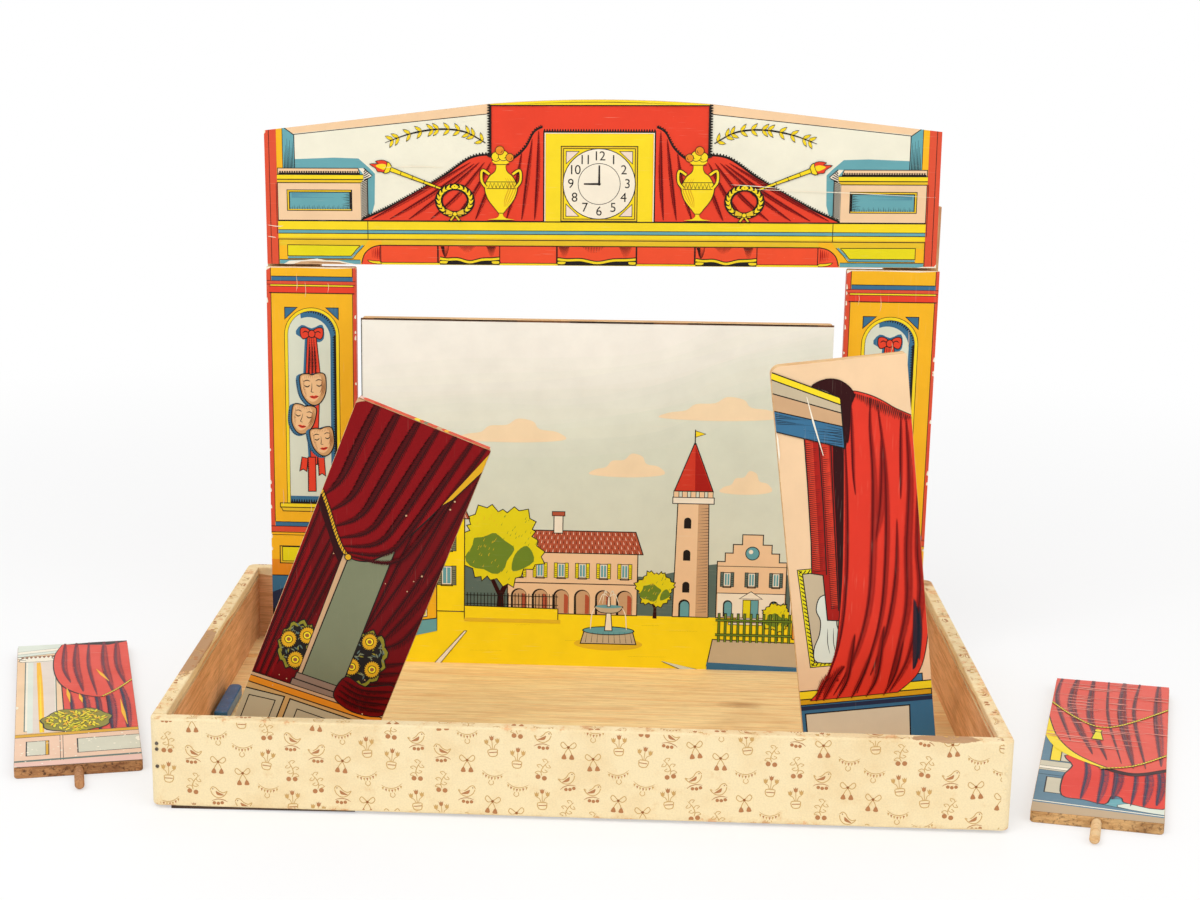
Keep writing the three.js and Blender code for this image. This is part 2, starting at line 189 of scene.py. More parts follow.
@dataclass(frozen=True)
class Pine:
    """Bare pine: early and late wood in long streaks, fine fibres, and stains of use."""

    name: str
    early: str
    late: str
    stain: str
    grain: Grain
    ring_mm: float = 5.0
    stained: float = 0.35
    rough: float = 0.62
    knots: tuple[Point, ...] = ()
    pits: float = 0.0

    def paint(self, tree: bpy.types.NodeTree,
            place: bpy.types.NodeSocket) -> tuple[bpy.types.NodeSocket, bpy.types.NodeSocket]:
        """Adds the wood's colour and relief to a tree.

        Args:
            tree: The tree.
            place: Where each point of the wood is.

        Returns:
            The colour and the fibres' height.
        """
        run = node(tree, "Mapping",
            {"Vector": place, "Scale": [v / (self.ring_mm * MM) for v in self.grain.value]})
        rings = node(tree, "TexNoise", {"Vector": run.outputs[0], "Scale": 1.0, "Detail": 6.0,
                "Roughness": 0.7, "Distortion": 0.35})
        # Fibres are about 0.4 mm, drawn 0.8 mm wide so that they show.
        fine = node(tree, "Mapping", {"Vector": place, "Scale": [v / (0.8 * MM) for v in self.grain.value]})
        fibres = node(tree, "TexNoise",
            {"Vector": fine.outputs[0], "Scale": 1.0, "Detail": 3.0, "Roughness": 0.7})
        patch = node(tree, "TexNoise", {"Vector": place, "Scale": 14.0, "Detail": 5.0, "Distortion": 0.8})
        ring = node(tree, "MapRange", {0: rings.outputs[0], 1: 0.44, 2: 0.64, 3: 0.0, 4: 1.0})
        colour = node(tree, "MixRGB", {0: ring.outputs[0], 1: linear(self.early), 2: linear(self.late)})
        streak = node(tree, "MapRange", {0: fibres.outputs[0], 1: 0.38, 2: 0.68, 3: 1.05, 4: 0.80})
        colour = node(tree, "MixRGB", {0: 1.0, 1: colour.outputs[0], 2: streak.outputs[0]},
            blend_type="MULTIPLY")
        dirt = node(tree, "MapRange", {0: patch.outputs[0], 1: 0.52, 2: 0.76, 3: 0.0, 4: self.stained})
        colour = node(tree, "MixRGB", {0: dirt.outputs[0], 1: colour.outputs[0], 2: linear(self.stain)})
        if self.pits:
            holes = node(tree, "TexNoise",
                {"Vector": place, "Scale": 330.0, "Detail": 6.0, "Roughness": 0.7})
            deep = node(tree, "MapRange", {0: holes.outputs[0], 1: 0.53, 2: 0.6, 3: 0.0, 4: self.pits})
            colour = node(tree, "MixRGB", {0: deep.outputs[0], 1: colour.outputs[0], 2: linear("#4A2A18")})
        for x, y in self.knots:
            flat = node(tree, "Mapping",
                {"Vector": place, "Location": (x, y, 0.0), "Scale": (0.022, 0.0083, 1.0)},
                vector_type="TEXTURE")
            wobble = node(tree, "TexNoise", {"Vector": flat.outputs[0], "Scale": 2.0, "Detail": 4.0})
            far = node(tree, "VectorMath", {0: flat.outputs[0]}, operation="LENGTH")
            edge = node(tree, "Math", {0: far.outputs["Value"], 1: wobble.outputs[0]}, operation="ADD")
            knot = node(tree, "MapRange", {0: edge.outputs[0], 1: 0.6, 2: 1.5, 3: 0.6, 4: 0.0})
            colour = node(tree, "MixRGB", {0: knot.outputs[0], 1: colour.outputs[0], 2: linear("#9A6A40")})
        return colour.outputs[0], fibres.outputs[0]

    def build(self) -> bpy.types.Material:
        """Builds the wood.

        Returns:
            The material.
        """
        material, tree = blank_material(self.name)
        colour, fibres = self.paint(tree, node(tree, "TexCoord").outputs["Object"])
        bump = node(tree, "Bump", {"Height": fibres, "Strength": 0.25, "Distance": 0.0003})
        shader = node(tree, "BsdfPrincipled", {"Base Color": colour, "Roughness": self.rough,
                "Specular IOR Level": 0.3, "Normal": bump.outputs[0]})
        node(tree, "OutputMaterial", {0: shader.outputs[0]})
        return material


@dataclass(frozen=True)
class CoverPaper:
    """Cream paper glued over the tray's walls: matt, mottled, soiled low down, worn at the edges."""

    name: str
    pine: Pine
    paper: str = "#F4E0B4"
    age: str = "#E2BF86"
    soil: str = "#9C7448"
    inner: tuple[float, float] = (0.2704, 0.1704)
    tears: tuple[tuple[float, float, float, float], ...] = ()

    def bare(self, tree: bpy.types.NodeTree, place: bpy.types.NodeSocket) -> bpy.types.NodeSocket:
        """Tells the walls' bare inner faces from the papered ones.

        Args:
            tree: The material's tree.
            place: Where each point of the wall is.

        Returns:
            One inside the tray, nothing outside and on top.
        """
        parts = node(tree, "SeparateXYZ", {0: place})
        within = []
        for axis, half in enumerate(self.inner):
            size = node(tree, "Math", {0: parts.outputs[axis]}, operation="ABSOLUTE")
            within.append(node(tree, "Math", {0: size.outputs[0], 1: half + 0.0005},
                    operation="LESS_THAN").outputs[0])
        # The paper is folded over the rim and ends 3 to 9 mm down in a ragged edge.
        ragged = node(tree, "TexNoise", {"Vector": place, "Scale": 9.0, "Detail": 5.0})
        lowest = node(tree, "MapRange", {0: ragged.outputs[0], 1: 0.3, 2: 0.7, 3: 0.0535, 4: 0.0605})
        below = node(tree, "Math", {0: parts.outputs[2], 1: lowest.outputs[0]}, operation="LESS_THAN")
        both = node(tree, "Math", {0: within[0], 1: within[1]}, operation="MULTIPLY")
        return node(tree, "Math", {0: both.outputs[0], 1: below.outputs[0]},
            operation="MULTIPLY").outputs[0]

    def build(self) -> bpy.types.Material:
        """Builds the paper, with the pine below and inside.

        Returns:
            The material.
        """
        material, tree = blank_material(self.name)
        place = node(tree, "TexCoord").outputs["Object"]
        wood, fibres = self.pine.paint(tree, place)
        clouds = node(tree, "TexNoise", {"Vector": place, "Scale": 26.0, "Detail": 7.0, "Roughness": 0.62})
        mottle = node(tree, "MapRange", {0: clouds.outputs[0], 1: 0.46, 2: 0.8, 3: 0.0, 4: 0.6})
        colour = node(tree, "MixRGB", {0: mottle.outputs[0], 1: linear(self.paper), 2: linear(self.age)})
        # Paper fibres are far below a millimetre, drawn at 1 mm.
        fibre = node(tree, "TexNoise", {"Vector": place, "Scale": 900.0, "Detail": 2.0})
        speck = node(tree, "MapRange", {0: fibre.outputs[0], 1: 0.3, 2: 0.7, 3: 1.03, 4: 0.94})
        colour = node(tree, "MixRGB", {0: 1.0, 1: colour.outputs[0], 2: speck.outputs[0]},
            blend_type="MULTIPLY")
        high = node(tree, "SeparateXYZ", {0: place}).outputs[2]
        scuffs = node(tree, "TexNoise", {"Vector": place, "Scale": 70.0, "Detail": 9.0, "Roughness": 0.72})
        top = node(tree, "MapRange", {0: high, 1: 0.0605, 2: 0.0630, 3: 0.0, 4: 0.11})
        low = node(tree, "MapRange", {0: high, 1: 0.0075, 2: 0.002, 3: 0.0, 4: 0.13})
        ends = node(tree, "Math", {0: node(tree, "SeparateXYZ", {0: place}).outputs[0]},
            operation="ABSOLUTE")
        corner = node(tree, "MapRange", {0: ends.outputs[0], 1: 0.2715, 2: 0.280, 3: 0.0, 4: 0.05})
        rub = scuffs.outputs[0]
        for more in (top, low, corner):
            rub = node(tree, "Math", {0: rub, 1: more.outputs[0]}, operation="ADD").outputs[0]
        soiled = node(tree, "MapRange", {0: rub, 1: 0.58, 2: 0.70, 3: 0.0, 4: 0.5})
        colour = node(tree, "MixRGB", {0: soiled.outputs[0], 1: colour.outputs[0], 2: linear(self.age)})
        torn = node(tree, "MapRange", {0: rub, 1: 0.685, 2: 0.71, 3: 0.0, 4: 0.85})
        colour = node(tree, "MixRGB", {0: torn.outputs[0], 1: colour.outputs[0], 2: wood})
        rim = node(tree, "MapRange", {0: rub, 1: 0.76, 2: 0.80, 3: 0.0, 4: 0.5})
        colour = node(tree, "MixRGB", {0: rim.outputs[0], 1: colour.outputs[0], 2: linear(self.soil)})
        for x, y, wide, deep in self.tears:
            patch = node(tree, "Mapping",
                {"Vector": place, "Location": (x, y, 0.0645), "Scale": (wide, deep, 0.0035)},
                vector_type="TEXTURE")
            far = node(tree, "VectorMath", {0: patch.outputs[0]}, operation="LENGTH")
            edge = node(tree, "Math", {0: far.outputs["Value"], 1: scuffs.outputs[0]}, operation="ADD")
            gone = node(tree, "MapRange", {0: edge.outputs[0], 1: 1.38, 2: 1.42, 3: 0.92, 4: 0.0})
            colour = node(tree, "MixRGB", {0: gone.outputs[0], 1: colour.outputs[0], 2: linear("#B58A64")})
        colour = node(tree, "MixRGB", {0: self.bare(tree, place), 1: colour.outputs[0], 2: wood})
        relief = node(tree, "Math", {0: fibres, 1: clouds.outputs[0]}, operation="ADD")
        bump = node(tree, "Bump", {"Height": relief.outputs[0], "Strength": 0.3, "Distance": 0.0004})
        shader = node(tree, "BsdfPrincipled", {"Base Color": colour.outputs[0], "Roughness": 0.72,
                "Specular IOR Level": 0.2, "Normal": bump.outputs[0]})
        node(tree, "OutputMaterial", {0: shader.outputs[0]})
        return material


@dataclass(frozen=True)
class PrintedPaper:
    """Varnished lithograph on wood: flat inks, faint grain from the board below, rubbed specks."""

    name: str
    grain: Grain
    shade: float = 1.0
    wear: float = 0.35
    rough: float = 0.42

    def build(self) -> bpy.types.Material:
        """Builds the printed surface. Its colour comes from the piece's own ink attribute.

        Returns:
            The material.
        """
        material, tree = blank_material(self.name)
        place = node(tree, "TexCoord").outputs["Object"]
        ink = node(tree, "Attribute", attribute_name="ink").outputs["Color"]
        # The inks' uneven density varies over about 20 mm, and their grain over half a millimetre.
        clouds = node(tree, "TexNoise", {"Vector": place, "Scale": 38.0, "Detail": 5.0, "Roughness": 0.6})
        dense = node(tree, "MapRange",
            {0: clouds.outputs[0], 1: 0.25, 2: 0.75, 3: self.shade * 1.03, 4: self.shade * 0.93})
        colour = node(tree, "MixRGB", {0: 1.0, 1: ink, 2: dense.outputs[0]}, blend_type="MULTIPLY")
        # Pale streaks along the board's grain: wear, and on the lying spare wings, whose wear is highest,
        # partly painted sheen.
        run = node(tree, "Mapping", {"Vector": place, "Scale": [v / (1.1 * MM) for v in self.grain.value]})
        board = node(tree, "TexNoise", {"Vector": run.outputs[0], "Scale": 1.0, "Detail": 3.0})
        lines = node(tree, "MapRange", {0: board.outputs[0], 1: 0.64, 2: 0.80, 3: 0.0, 4: self.wear * 0.5})
        colour = node(tree, "MixRGB", {0: lines.outputs[0], 1: colour.outputs[0], 2: linear("#EFE3C8")})
        specks = node(tree, "TexNoise", {"Vector": place, "Scale": 420.0, "Detail": 4.0, "Roughness": 0.75})
        chips = node(tree, "MapRange", {0: specks.outputs[0], 1: 0.70, 2: 0.76, 3: 0.0, 4: self.wear})
        colour = node(tree, "MixRGB", {0: chips.outputs[0], 1: colour.outputs[0], 2: linear("#F0E2C6")})
        bump = node(tree, "Bump", {"Height": board.outputs[0], "Strength": 0.15, "Distance": 0.0002})
        gloss = node(tree, "MapRange",
            {0: clouds.outputs[0], 1: 0.2, 2: 0.8, 3: self.rough - 0.06, 4: self.rough + 0.1})
        shader = node(tree, "BsdfPrincipled", {"Base Color": colour.outputs[0],
                "Roughness": gloss.outputs[0], "Specular IOR Level": 0.14, "Normal": bump.outputs[0]})
        node(tree, "OutputMaterial", {0: shader.outputs[0]})
        return material


@dataclass(frozen=True)
class Enamel:
    """Brushed enamel paint: glossy, a little uneven, chipped at its edges."""

    name: str
    paint: str
    chip: str
    chipped: float = 0.5

    def build(self) -> bpy.types.Material:
        """Builds the paint.

        Returns:
            The material.
        """
        material, tree = blank_material(self.name)
        place = node(tree, "TexCoord").outputs["Object"]
        coat = node(tree, "TexNoise", {"Vector": place, "Scale": 160.0, "Detail": 4.0})
        uneven = node(tree, "MapRange", {0: coat.outputs[0], 1: 0.3, 2: 0.7, 3: 1.12, 4: 0.82})
        colour = node(tree, "MixRGB", {0: 1.0, 1: linear(self.paint), 2: uneven.outputs[0]},
            blend_type="MULTIPLY")
        flakes = node(tree, "TexNoise", {"Vector": place, "Scale": 380.0, "Detail": 5.0, "Roughness": 0.7})
        chips = node(tree, "MapRange", {0: flakes.outputs[0], 1: 0.62, 2: 0.66, 3: 0.0, 4: self.chipped})
        colour = node(tree, "MixRGB", {0: chips.outputs[0], 1: colour.outputs[0], 2: linear(self.chip)})
        bump = node(tree, "Bump", {"Height": coat.outputs[0], "Strength": 0.3, "Distance": 0.0003})
        shader = node(tree, "BsdfPrincipled", {
            "Base Color": colour.outputs[0], "Roughness": 0.3, "Normal": bump.outputs[0]})
        node(tree, "OutputMaterial", {0: shader.outputs[0]})
        return material


@dataclass(frozen=True)
class WireNail:
    """Drawn steel wire, dulled and spotted with rust."""

    name: str = "wire_nail_steel"

    def build(self) -> bpy.types.Material:
        """Builds the steel.

        Returns:
            The material.
        """
        material, tree = blank_material(self.name)
        place = node(tree, "TexCoord").outputs["Object"]
        spots = node(tree, "TexNoise", {"Vector": place, "Scale": 1500.0, "Detail": 3.0})
        rust = node(tree, "MapRange", {0: spots.outputs[0], 1: 0.45, 2: 0.6})
        colour = node(tree, "MixRGB", {0: rust.outputs[0], 1: linear("#6E665C"), 2: linear("#4A3020")})
        shader = node(tree, "BsdfPrincipled", {
            "Base Color": colour.outputs[0], "Metallic": 0.7, "Roughness": 0.5})
        node(tree, "OutputMaterial", {0: shader.outputs[0]})
        return material


# Printing


class Side(Enum):
    """A side of the stage, as the audience sees it."""

    LEFT = "left"
    RIGHT = "right"


class Ink(Enum):
    """The printer's inks, as they look on the boards."""

    BLACK = "#1F1A18"
    NAVY = "#262F4A"
    RED = "#E6432B"
    VALANCE = "#EE5230"
    BRICK = "#DC5236"
    BLOOD = "#A81C14"
    WINE = "#560609"
    MAROON = "#300508"
    ROSE = "#D03A26"
    YELLOW = "#F6DA26"
    OCHRE = "#E7C12C"
    AMBER = "#F5B823"
    ORANGE = "#E68E22"
    LIME = "#E6D91B"
    GOLD = "#DBA51E"
    SKY = "#EEEBD6"
    HAZE = "#D9DFCC"
    MIST = "#F4F1E6"
    PEACH = "#F0CCA2"
    CLAY = "#CDA57C"
    TILE = "#B5573C"
    BLUE = "#68A6AE"
    STEEL = "#3B6F92"
    SLATE = "#5C7068"
    SAGE = "#7C8063"
    GREEN = "#6E8A2C"
    GREY = "#C6B596"
    CREAM = "#F4EBD6"
    PINK = "#E9BFB0"
    TAN = "#CFA566"
    BROWN = "#9A6238"
    SEPIA = "#B97F52"
    CARMINE = "#6E040A"
    CRIMSON = "#83030A"
    SCARLET = "#DE3826"
    OLIVE = "#8C8428"
    PLUM = "#5C1F3A"
    BUFF = "#F5DDB6"
    LEMON = "#FFE21C"
    ICE = "#DDE3D4"


Tint = Ink | str  # One of the printer's inks, or a blend of two.


def blend(first: Ink, second: Ink, share: float) -> str:
    """Mixes two inks, as sRGB."""
    pairs = [(int(first.value[i:i + 2], 16), int(second.value[i:i + 2], 16)) for i in (1, 3, 5)]
    return "#" + "".join(f"{round(a + (b - a) * share):02X}" for a, b in pairs)


def plain(ink: Tint) -> str:
    """Gives an ink's hex colour."""
    return ink.value if isinstance(ink, Ink) else ink


def box(left: float, low: float, right: float, top: float) -> Outline:
    """Gives an upright rectangle, in millimetres."""
    return [(left, low), (right, low), (right, top), (left, top)]


def arc(centre: Point, radius: float, start: float, stop: float, squash: float = 1.0) -> Outline:
    """Gives points along an arc.

    Args:
        centre: Its middle, in millimetres.
        radius: Its radius across the board.
        start: First angle in degrees.
        stop: Last angle in degrees.
        squash: Its height as a share of its width.

    Returns:
        Points about every nine degrees.
    """
    steps = max(2, round(abs(stop - start) / 9))
    turns = [math.radians(start + (stop - start) * i / steps) for i in range(steps + 1)]
    return [(centre[0] + radius * math.cos(a), centre[1] + radius * squash * math.sin(a)) for a in turns]


def disc(centre: Point, radius: float, squash: float = 1.0) -> Outline:
    """Gives a round outline."""
    return arc(centre, radius, 0, 360, squash)[:-1]


def smooth(path: Sequence[Point], closed: bool = False, steps: int = 5) -> Outline:
    """Runs one smooth line through all points.

    Args:
        path: The points that it passes.
        closed: Whether it returns to its start.
        steps: Points for each stretch.

    Returns:
        The line's points.
    """
    count = len(path)
    line: Outline = []
    for i in range(count if closed else count - 1):
        if closed:
            knots = [path[(i + k) % count] for k in (-1, 0, 1, 2)]
        else:
            knots = [path[min(max(i + k, 0), count - 1)] for k in (-1, 0, 1, 2)]
        for step in range(steps):
            t = step / steps
            line.append(tuple(0.5 * (2 * b + (c - a) * t + (2 * a - 5 * b + 4 * c - d) * t * t
                    + (3 * b - a - 3 * c + d) * t ** 3) for a, b, c, d in zip(*knots)))
    if not closed:
        line.append(tuple(path[-1]))
    return line


def stroke(path: Sequence[Point], wide: float, tip: float = 1.0, tail: float = 1.0) -> Outline:
    """Gives the outline of a pen stroke.

    Args:
        path: The line that the pen follows.
        wide: Its full width in millimetres.
        tip: Width at its start, as a share of the full width.
        tail: Width at its end, as a share of the full width.

    Returns:
        The outline round it.
    """
    near: Outline = []
    far: Outline = []
    last = len(path) - 1
    for i, (x, y) in enumerate(path):
        before, after = path[max(i - 1, 0)], path[min(i + 1, last)]
        along = Vector((after[0] - before[0], after[1] - before[1]))
        if along.length < 1e-9:
            continue
        side = Vector((-along.y, along.x)).normalized()
        share = i / last
        full = min(1.0, tip + (1 - tip) * share * 3, tail + (1 - tail) * (1 - share) * 3)
        side *= max(full, 0.08) * wide / 2
        near.append((x + side.x, y + side.y))
        far.append((x - side.x, y - side.y))
    return near + far[::-1]


def grown(outline: Outline, by: float) -> Outline:
    """Moves an outline outwards.

    Args:
        outline: The outline, turning either way.
        by: How far in millimetres, or its opposite to shrink it.

    Returns:
        The new outline.
    """
    area = sum(a[0] * b[1] - b[0] * a[1] for a, b in zip(outline, outline[1:] + outline[:1]))
    by = by if area > 0 else -by
    moved: Outline = []
    for i, spot in enumerate(outline):
        here = Vector(spot)
        into, away = here - Vector(outline[i - 1]), Vector(outline[(i + 1) % len(outline)]) - here
        if into.length < 1e-6 or away.length < 1e-6:
            continue
        into, away = into.normalized(), away.normalized()
        normal = Vector((into.y + away.y, -into.x - away.x))
        if normal.length < 0.2:
            normal = Vector((into.y, -into.x))
        normal = normal.normalized()
        reach = min(2.0, 1 / max(normal.dot(Vector((into.y, -into.x))), 0.1))
        moved.append(tuple(here + normal * by * reach))
    return moved


def walk(path: Sequence[Point], pitch: float) -> list[tuple[Vector, Vector]]:
    """Steps along a line.

    Args:
        path: The line's points.
        pitch: The length of a step in millimetres.

    Returns:
        Each spot and the way there.
    """
    spots: list[tuple[Vector, Vector]] = []
    spare = 0.0
    for start, stop in zip(path, path[1:]):
        way = Vector(stop) - Vector(start)
        if way.length < 1e-9:
            continue
        along = way.normalized()
        while spare < way.length:
            spots.append((Vector(start) + along * spare, along))
            spare += pitch
        spare -= way.length
    return spots


def clip(outline: Outline, window: Outline) -> Outline:
    """Cuts an outline to a window without hollows.

    Args:
        outline: The outline to cut.
        window: The window's corners, anticlockwise.

    Returns:
        What lies within, or nothing.
    """
    kept = list(outline)
    for (ax, ay), (bx, by) in zip(window, window[1:] + window[:1]):
        inner: Outline = []
        for (px, py), (qx, qy) in zip(kept, kept[1:] + kept[:1]):
            p_in = (bx - ax) * (py - ay) - (by - ay) * (px - ax)
            q_in = (bx - ax) * (qy - ay) - (by - ay) * (qx - ax)
            if p_in >= 0:
                inner.append((px, py))
            if (p_in > 0 > q_in) or (p_in < 0 < q_in):
                share = p_in / (p_in - q_in)
                inner.append((px + (qx - px) * share, py + (qy - py) * share))
        kept = inner
        if len(kept) < 3:
            return []
    return kept


@dataclass
class Print:
    """Flat inks on one board, each laid over what it overlaps, cut to the board's edge.

    Inks closer than clear, in millimetres, count as overlapping. Lift is the step from one level to
    the next.
    """

    name: str
    place: Matrix
    edge: Outline
    lift: float = 0.014
    clear: float = 0.2
    flip: int = 1
    shapes: list[tuple[int, str, list[Outline]]] = field(default_factory=list)
    areas: list[tuple[float, float, float, float, int]] = field(default_factory=list)
    words: list[tuple[int, Ink, str, Point, float]] = field(default_factory=list)

    def turned(self, outline: Outline) -> Outline:
        """Gives an outline as it is, or turned over for the board's other half."""
        return [(self.flip * x, y) for x, y in outline]

    def level(self, points: Sequence[Point]) -> int:
        """Finds the first free level over what these points overlap.

        Args:
            points: All points of the new inks.

        Returns:
            The level.
        """
        left, right = min(p[0] for p in points), max(p[0] for p in points)
        low, top = min(p[1] for p in points), max(p[1] for p in points)
        under = [a[4] for a in self.areas if a[0] < right + self.clear and left < a[2] + self.clear
            and a[1] < top + self.clear and low < a[3] + self.clear]
        level = max(under, default=-1) + 1
        self.areas.append((left, low, right, top, level))
        return level

    def fill(self, ink: Tint, outline: Outline, *holes: Outline) -> None:
        """Prints one shape.

        Args:
            ink: Its ink.
            outline: Its outline in millimetres.
            holes: Outlines left free within it.
        """
        kept, *holes = [self.turned(o) for o in (outline, *holes)]
        kept = clip(kept, self.edge)
        if kept:
            self.shapes.append((self.level(kept), plain(ink), [kept, *holes]))

    def rows(self, ink: Tint, outlines: Iterable[Outline]) -> None:
        """Prints shapes that don't cross one another, all on one level.

        Args:
            ink: Their ink.
            outlines: Their outlines in millimetres.
        """
        kept = [clip(self.turned(o), self.edge) for o in outlines]
        kept = [o for o in kept if o]
        if kept:
            self.shapes.append((self.level([p for o in kept for p in o]), plain(ink), kept))

    def hatch(self, ink: Tint, paths: Iterable[Sequence[Point]], wide: float, tip: float = 1.0,
            tail: float = 1.0) -> None:
        """Prints pen strokes that don't cross one another, all on one level."""
        self.rows(ink, [stroke(path, wide, tip, tail) for path in paths])

    def rimmed(self, ink: Tint, outline: Outline, rim: float) -> None:
        """Prints a shape on the same shape in black, grown by the rim."""
        self.fills((Ink.BLACK, grown(outline, rim)), (ink, outline))

    def fills(self, *shapes: tuple[Tint, Outline]) -> None:
        """Prints shapes in order, one over another."""
        for ink, outline in shapes:
            self.fill(ink, outline)

    def line(self, ink: Tint, path: Sequence[Point], wide: float, tip: float = 1.0,
            tail: float = 1.0) -> None:
        """Prints one pen stroke."""
        self.fill(ink, stroke(path, wide, tip, tail))

    def lines(self, *strokes: tuple) -> None:
        """Prints pen strokes in order."""
        for values in strokes:
            self.line(*values)

    def panel(self, ink: Tint, outline: Outline, wide: float = 0.7, line: Tint = Ink.BLACK) -> None:
        """Prints a shape in line ink, and the same a little smaller on it."""
        self.fill(line, grown(outline, wide / 2))
        self.fill(ink, grown(outline, -wide / 2))

    def panels(self, *shapes: tuple) -> None:
        """Prints outlined shapes in order."""
        for values in shapes:
            self.panel(*values)

    def feathers(self, *shades: tuple) -> None:
        """Prints rows of feathered strokes in order."""
        for values in shades:
            self.feather(*values)

    def feather(self, ink: Tint, path: Sequence[Point], long: float, pitch: float = 1.3, lean: float = 0.5,
                pen: float = 0.5) -> None:
        """Shades one side of a line with short pen strokes, longest at its middle.

        Args:
            ink: Their ink.
            path: The line.
            long: The longest stroke, or its opposite on the other side.
            pitch: From one stroke to the next.
            lean: How far each stroke leans along the line, as a share of its length.
            pen: Width of the strokes.
        """
        spots = walk(path, pitch)
        marks = []
        for i, (spot, along) in enumerate(spots):
            swell = math.sin(
                math.pi * (i + 0.7) / (len(spots) + 0.4)) ** 0.55 * (0.82 + 0.18 * ((i * 7) % 5) / 4)
            side = Vector((-along.y, along.x)) * (long * swell) + along * (abs(long) * swell * lean)
            marks.append(
                stroke([tuple(spot), tuple(spot + side * 0.5), tuple(spot + side)], pen, 1.0, 0.15))
        self.rows(ink, marks)

    def fold(self, path: Sequence[Point], long: float, shade: Tint = Ink.WINE, dark: Tint = Ink.BLACK,
            pen: float = 0.34) -> None:
        """Draws one fold of a cloth.

        Args:
            path: The fold's line.
            long: How far its shade reaches, or its opposite on the other side.
            shade: The shade's ink.
            dark: The pen strokes' ink.
            pen: Their width.
        """
        self.feathers((shade, path, long * 0.8, 0.9, 0.8, 0.75), (shade, path, -long * 0.4, 0.9, 0.8, 0.75),
            (dark, path, long, 1.5, 0.9, pen), (dark, path, -long * 0.55, 1.6, 0.7, pen))
        self.line(dark, path, 0.8, 0.2, 0.5)

    def teeth(self, ink: Ink, start: Point, stop: Point, pitch: float, long: float) -> None:
        """Prints a row of small teeth.

        Args:
            ink: Their ink.
            start: Where the row begins.
            stop: Where it ends; the teeth point to the right of the way there.
            pitch: From one tooth to the next.
            long: Their length, or its opposite on the other side.
        """
        way = Vector((stop[0] - start[0], stop[1] - start[1]))
        count = max(1, round(way.length / pitch))
        along = way / count
        side = Vector((way.y, -way.x)).normalized() * long
        base = [Vector(start) + along * i for i in range(count)]
        self.rows(ink, [[tuple(b + along * 0.1), tuple(b + along * 0.9), tuple(b + along * 0.66 + side),
                tuple(b + along * 0.34 + side)] for b in base])

    def word(self, ink: Ink, text: str, centre: Point, size: float) -> None:
        """Prints a number, upright about a point.

        Args:
            ink: Its ink.
            text: Its digits.
            centre: Its middle.
            size: Its height in millimetres.
        """
        half = size * 0.4 * len(text)
        spot = [(centre[0] - half, centre[1] - size / 2), (centre[0] + half, centre[1] + size / 2)]
        self.words.append((self.level(spot), ink, text, centre, size))

    def sheet(self, level: int) -> bpy.types.Object:
        """Makes one level of inks a mesh.

        Args:
            level: Which level.

        Returns:
            The level's flat mesh, in millimetres of the board.
        """
        curve = bpy.data.curves.new(f"{self.name}_{level}", "CURVE")
        curve.dimensions = "2D"
        curve.fill_mode = "FRONT"
        layer = [(ink, outlines) for at, ink, outlines in self.shapes if at == level]
        inks = sorted({ink for ink, _ in layer})
        for _ in inks:
            curve.materials.append(None)
        for ink, outlines in layer:
            for outline in outlines:
                spline = curve.splines.new("POLY")
                spline.points.add(len(outline) - 1)
                spline.points.foreach_set("co", [v for x, y in outline for v in (x, y, 0.0, 1.0)])
                spline.use_cyclic_u = True
                spline.material_index = inks.index(ink)
        item = bpy.data.objects.new(curve.name, curve)
        bpy.context.collection.objects.link(item)
        select_only(item)
        bpy.ops.object.convert(target="MESH")
        item = bpy.context.object
        colours = item.data.color_attributes.new("ink", "FLOAT_COLOR", "POINT")
        for face in item.data.polygons:
            for corner in face.vertices:
                colours.data[corner].color = linear(inks[face.material_index])
            face.material_index = 0
        item.data.materials.clear()
        item.location = (0.0, 0.0, level * self.lift)
        return item

    def numeral(self, level: int, ink: Ink, text: str, centre: Point, size: float) -> bpy.types.Object:
        """Makes a number a mesh.

        Args:
            level: The level that it lies on.
            ink: Its ink.
            text: Its digits.
            centre: Its middle.
            size: Its height in millimetres.

        Returns:
            The number's flat mesh, in millimetres of the board.
        """
        bpy.ops.object.select_all(action="DESELECT")
        bpy.ops.object.text_add()
        item = bpy.context.object
        item.data.body = text
        item.data.align_x, item.data.align_y = "CENTER", "CENTER"
        item.data.size = size * 1.38
        item.data.space_character = 0.92
        item.data.resolution_u = 4
        bpy.ops.object.convert(target="MESH")
        item = bpy.context.object
        colours = item.data.color_attributes.new("ink", "FLOAT_COLOR", "POINT")
        colours.data.foreach_set("color", list(linear(ink.value)) * len(item.data.vertices))
        item.location = (centre[0], centre[1], level * self.lift)
        return item

    def press(self, material: bpy.types.Material) -> bpy.types.Object:
        """Joins all inks into one thin piece on the board.

        Args:
            material: The printed paper's finish.

        Returns:
            The print, at its place.
        """
        sheets = [self.sheet(level) for level in sorted({shape[0] for shape in self.shapes})]
        sheets += [self.numeral(*word) for word in self.words]
        select_only(*sheets)
        bpy.ops.object.transform_apply(location=True, rotation=True, scale=True)
        bpy.ops.object.join()
        item = bpy.context.object
        item.name = item.data.name = self.name
        item.matrix_world = self.place @ Matrix.Scale(MM, 4)
        settle(item)
        item.data.materials.clear()
        item.data.materials.append(material)
        return item


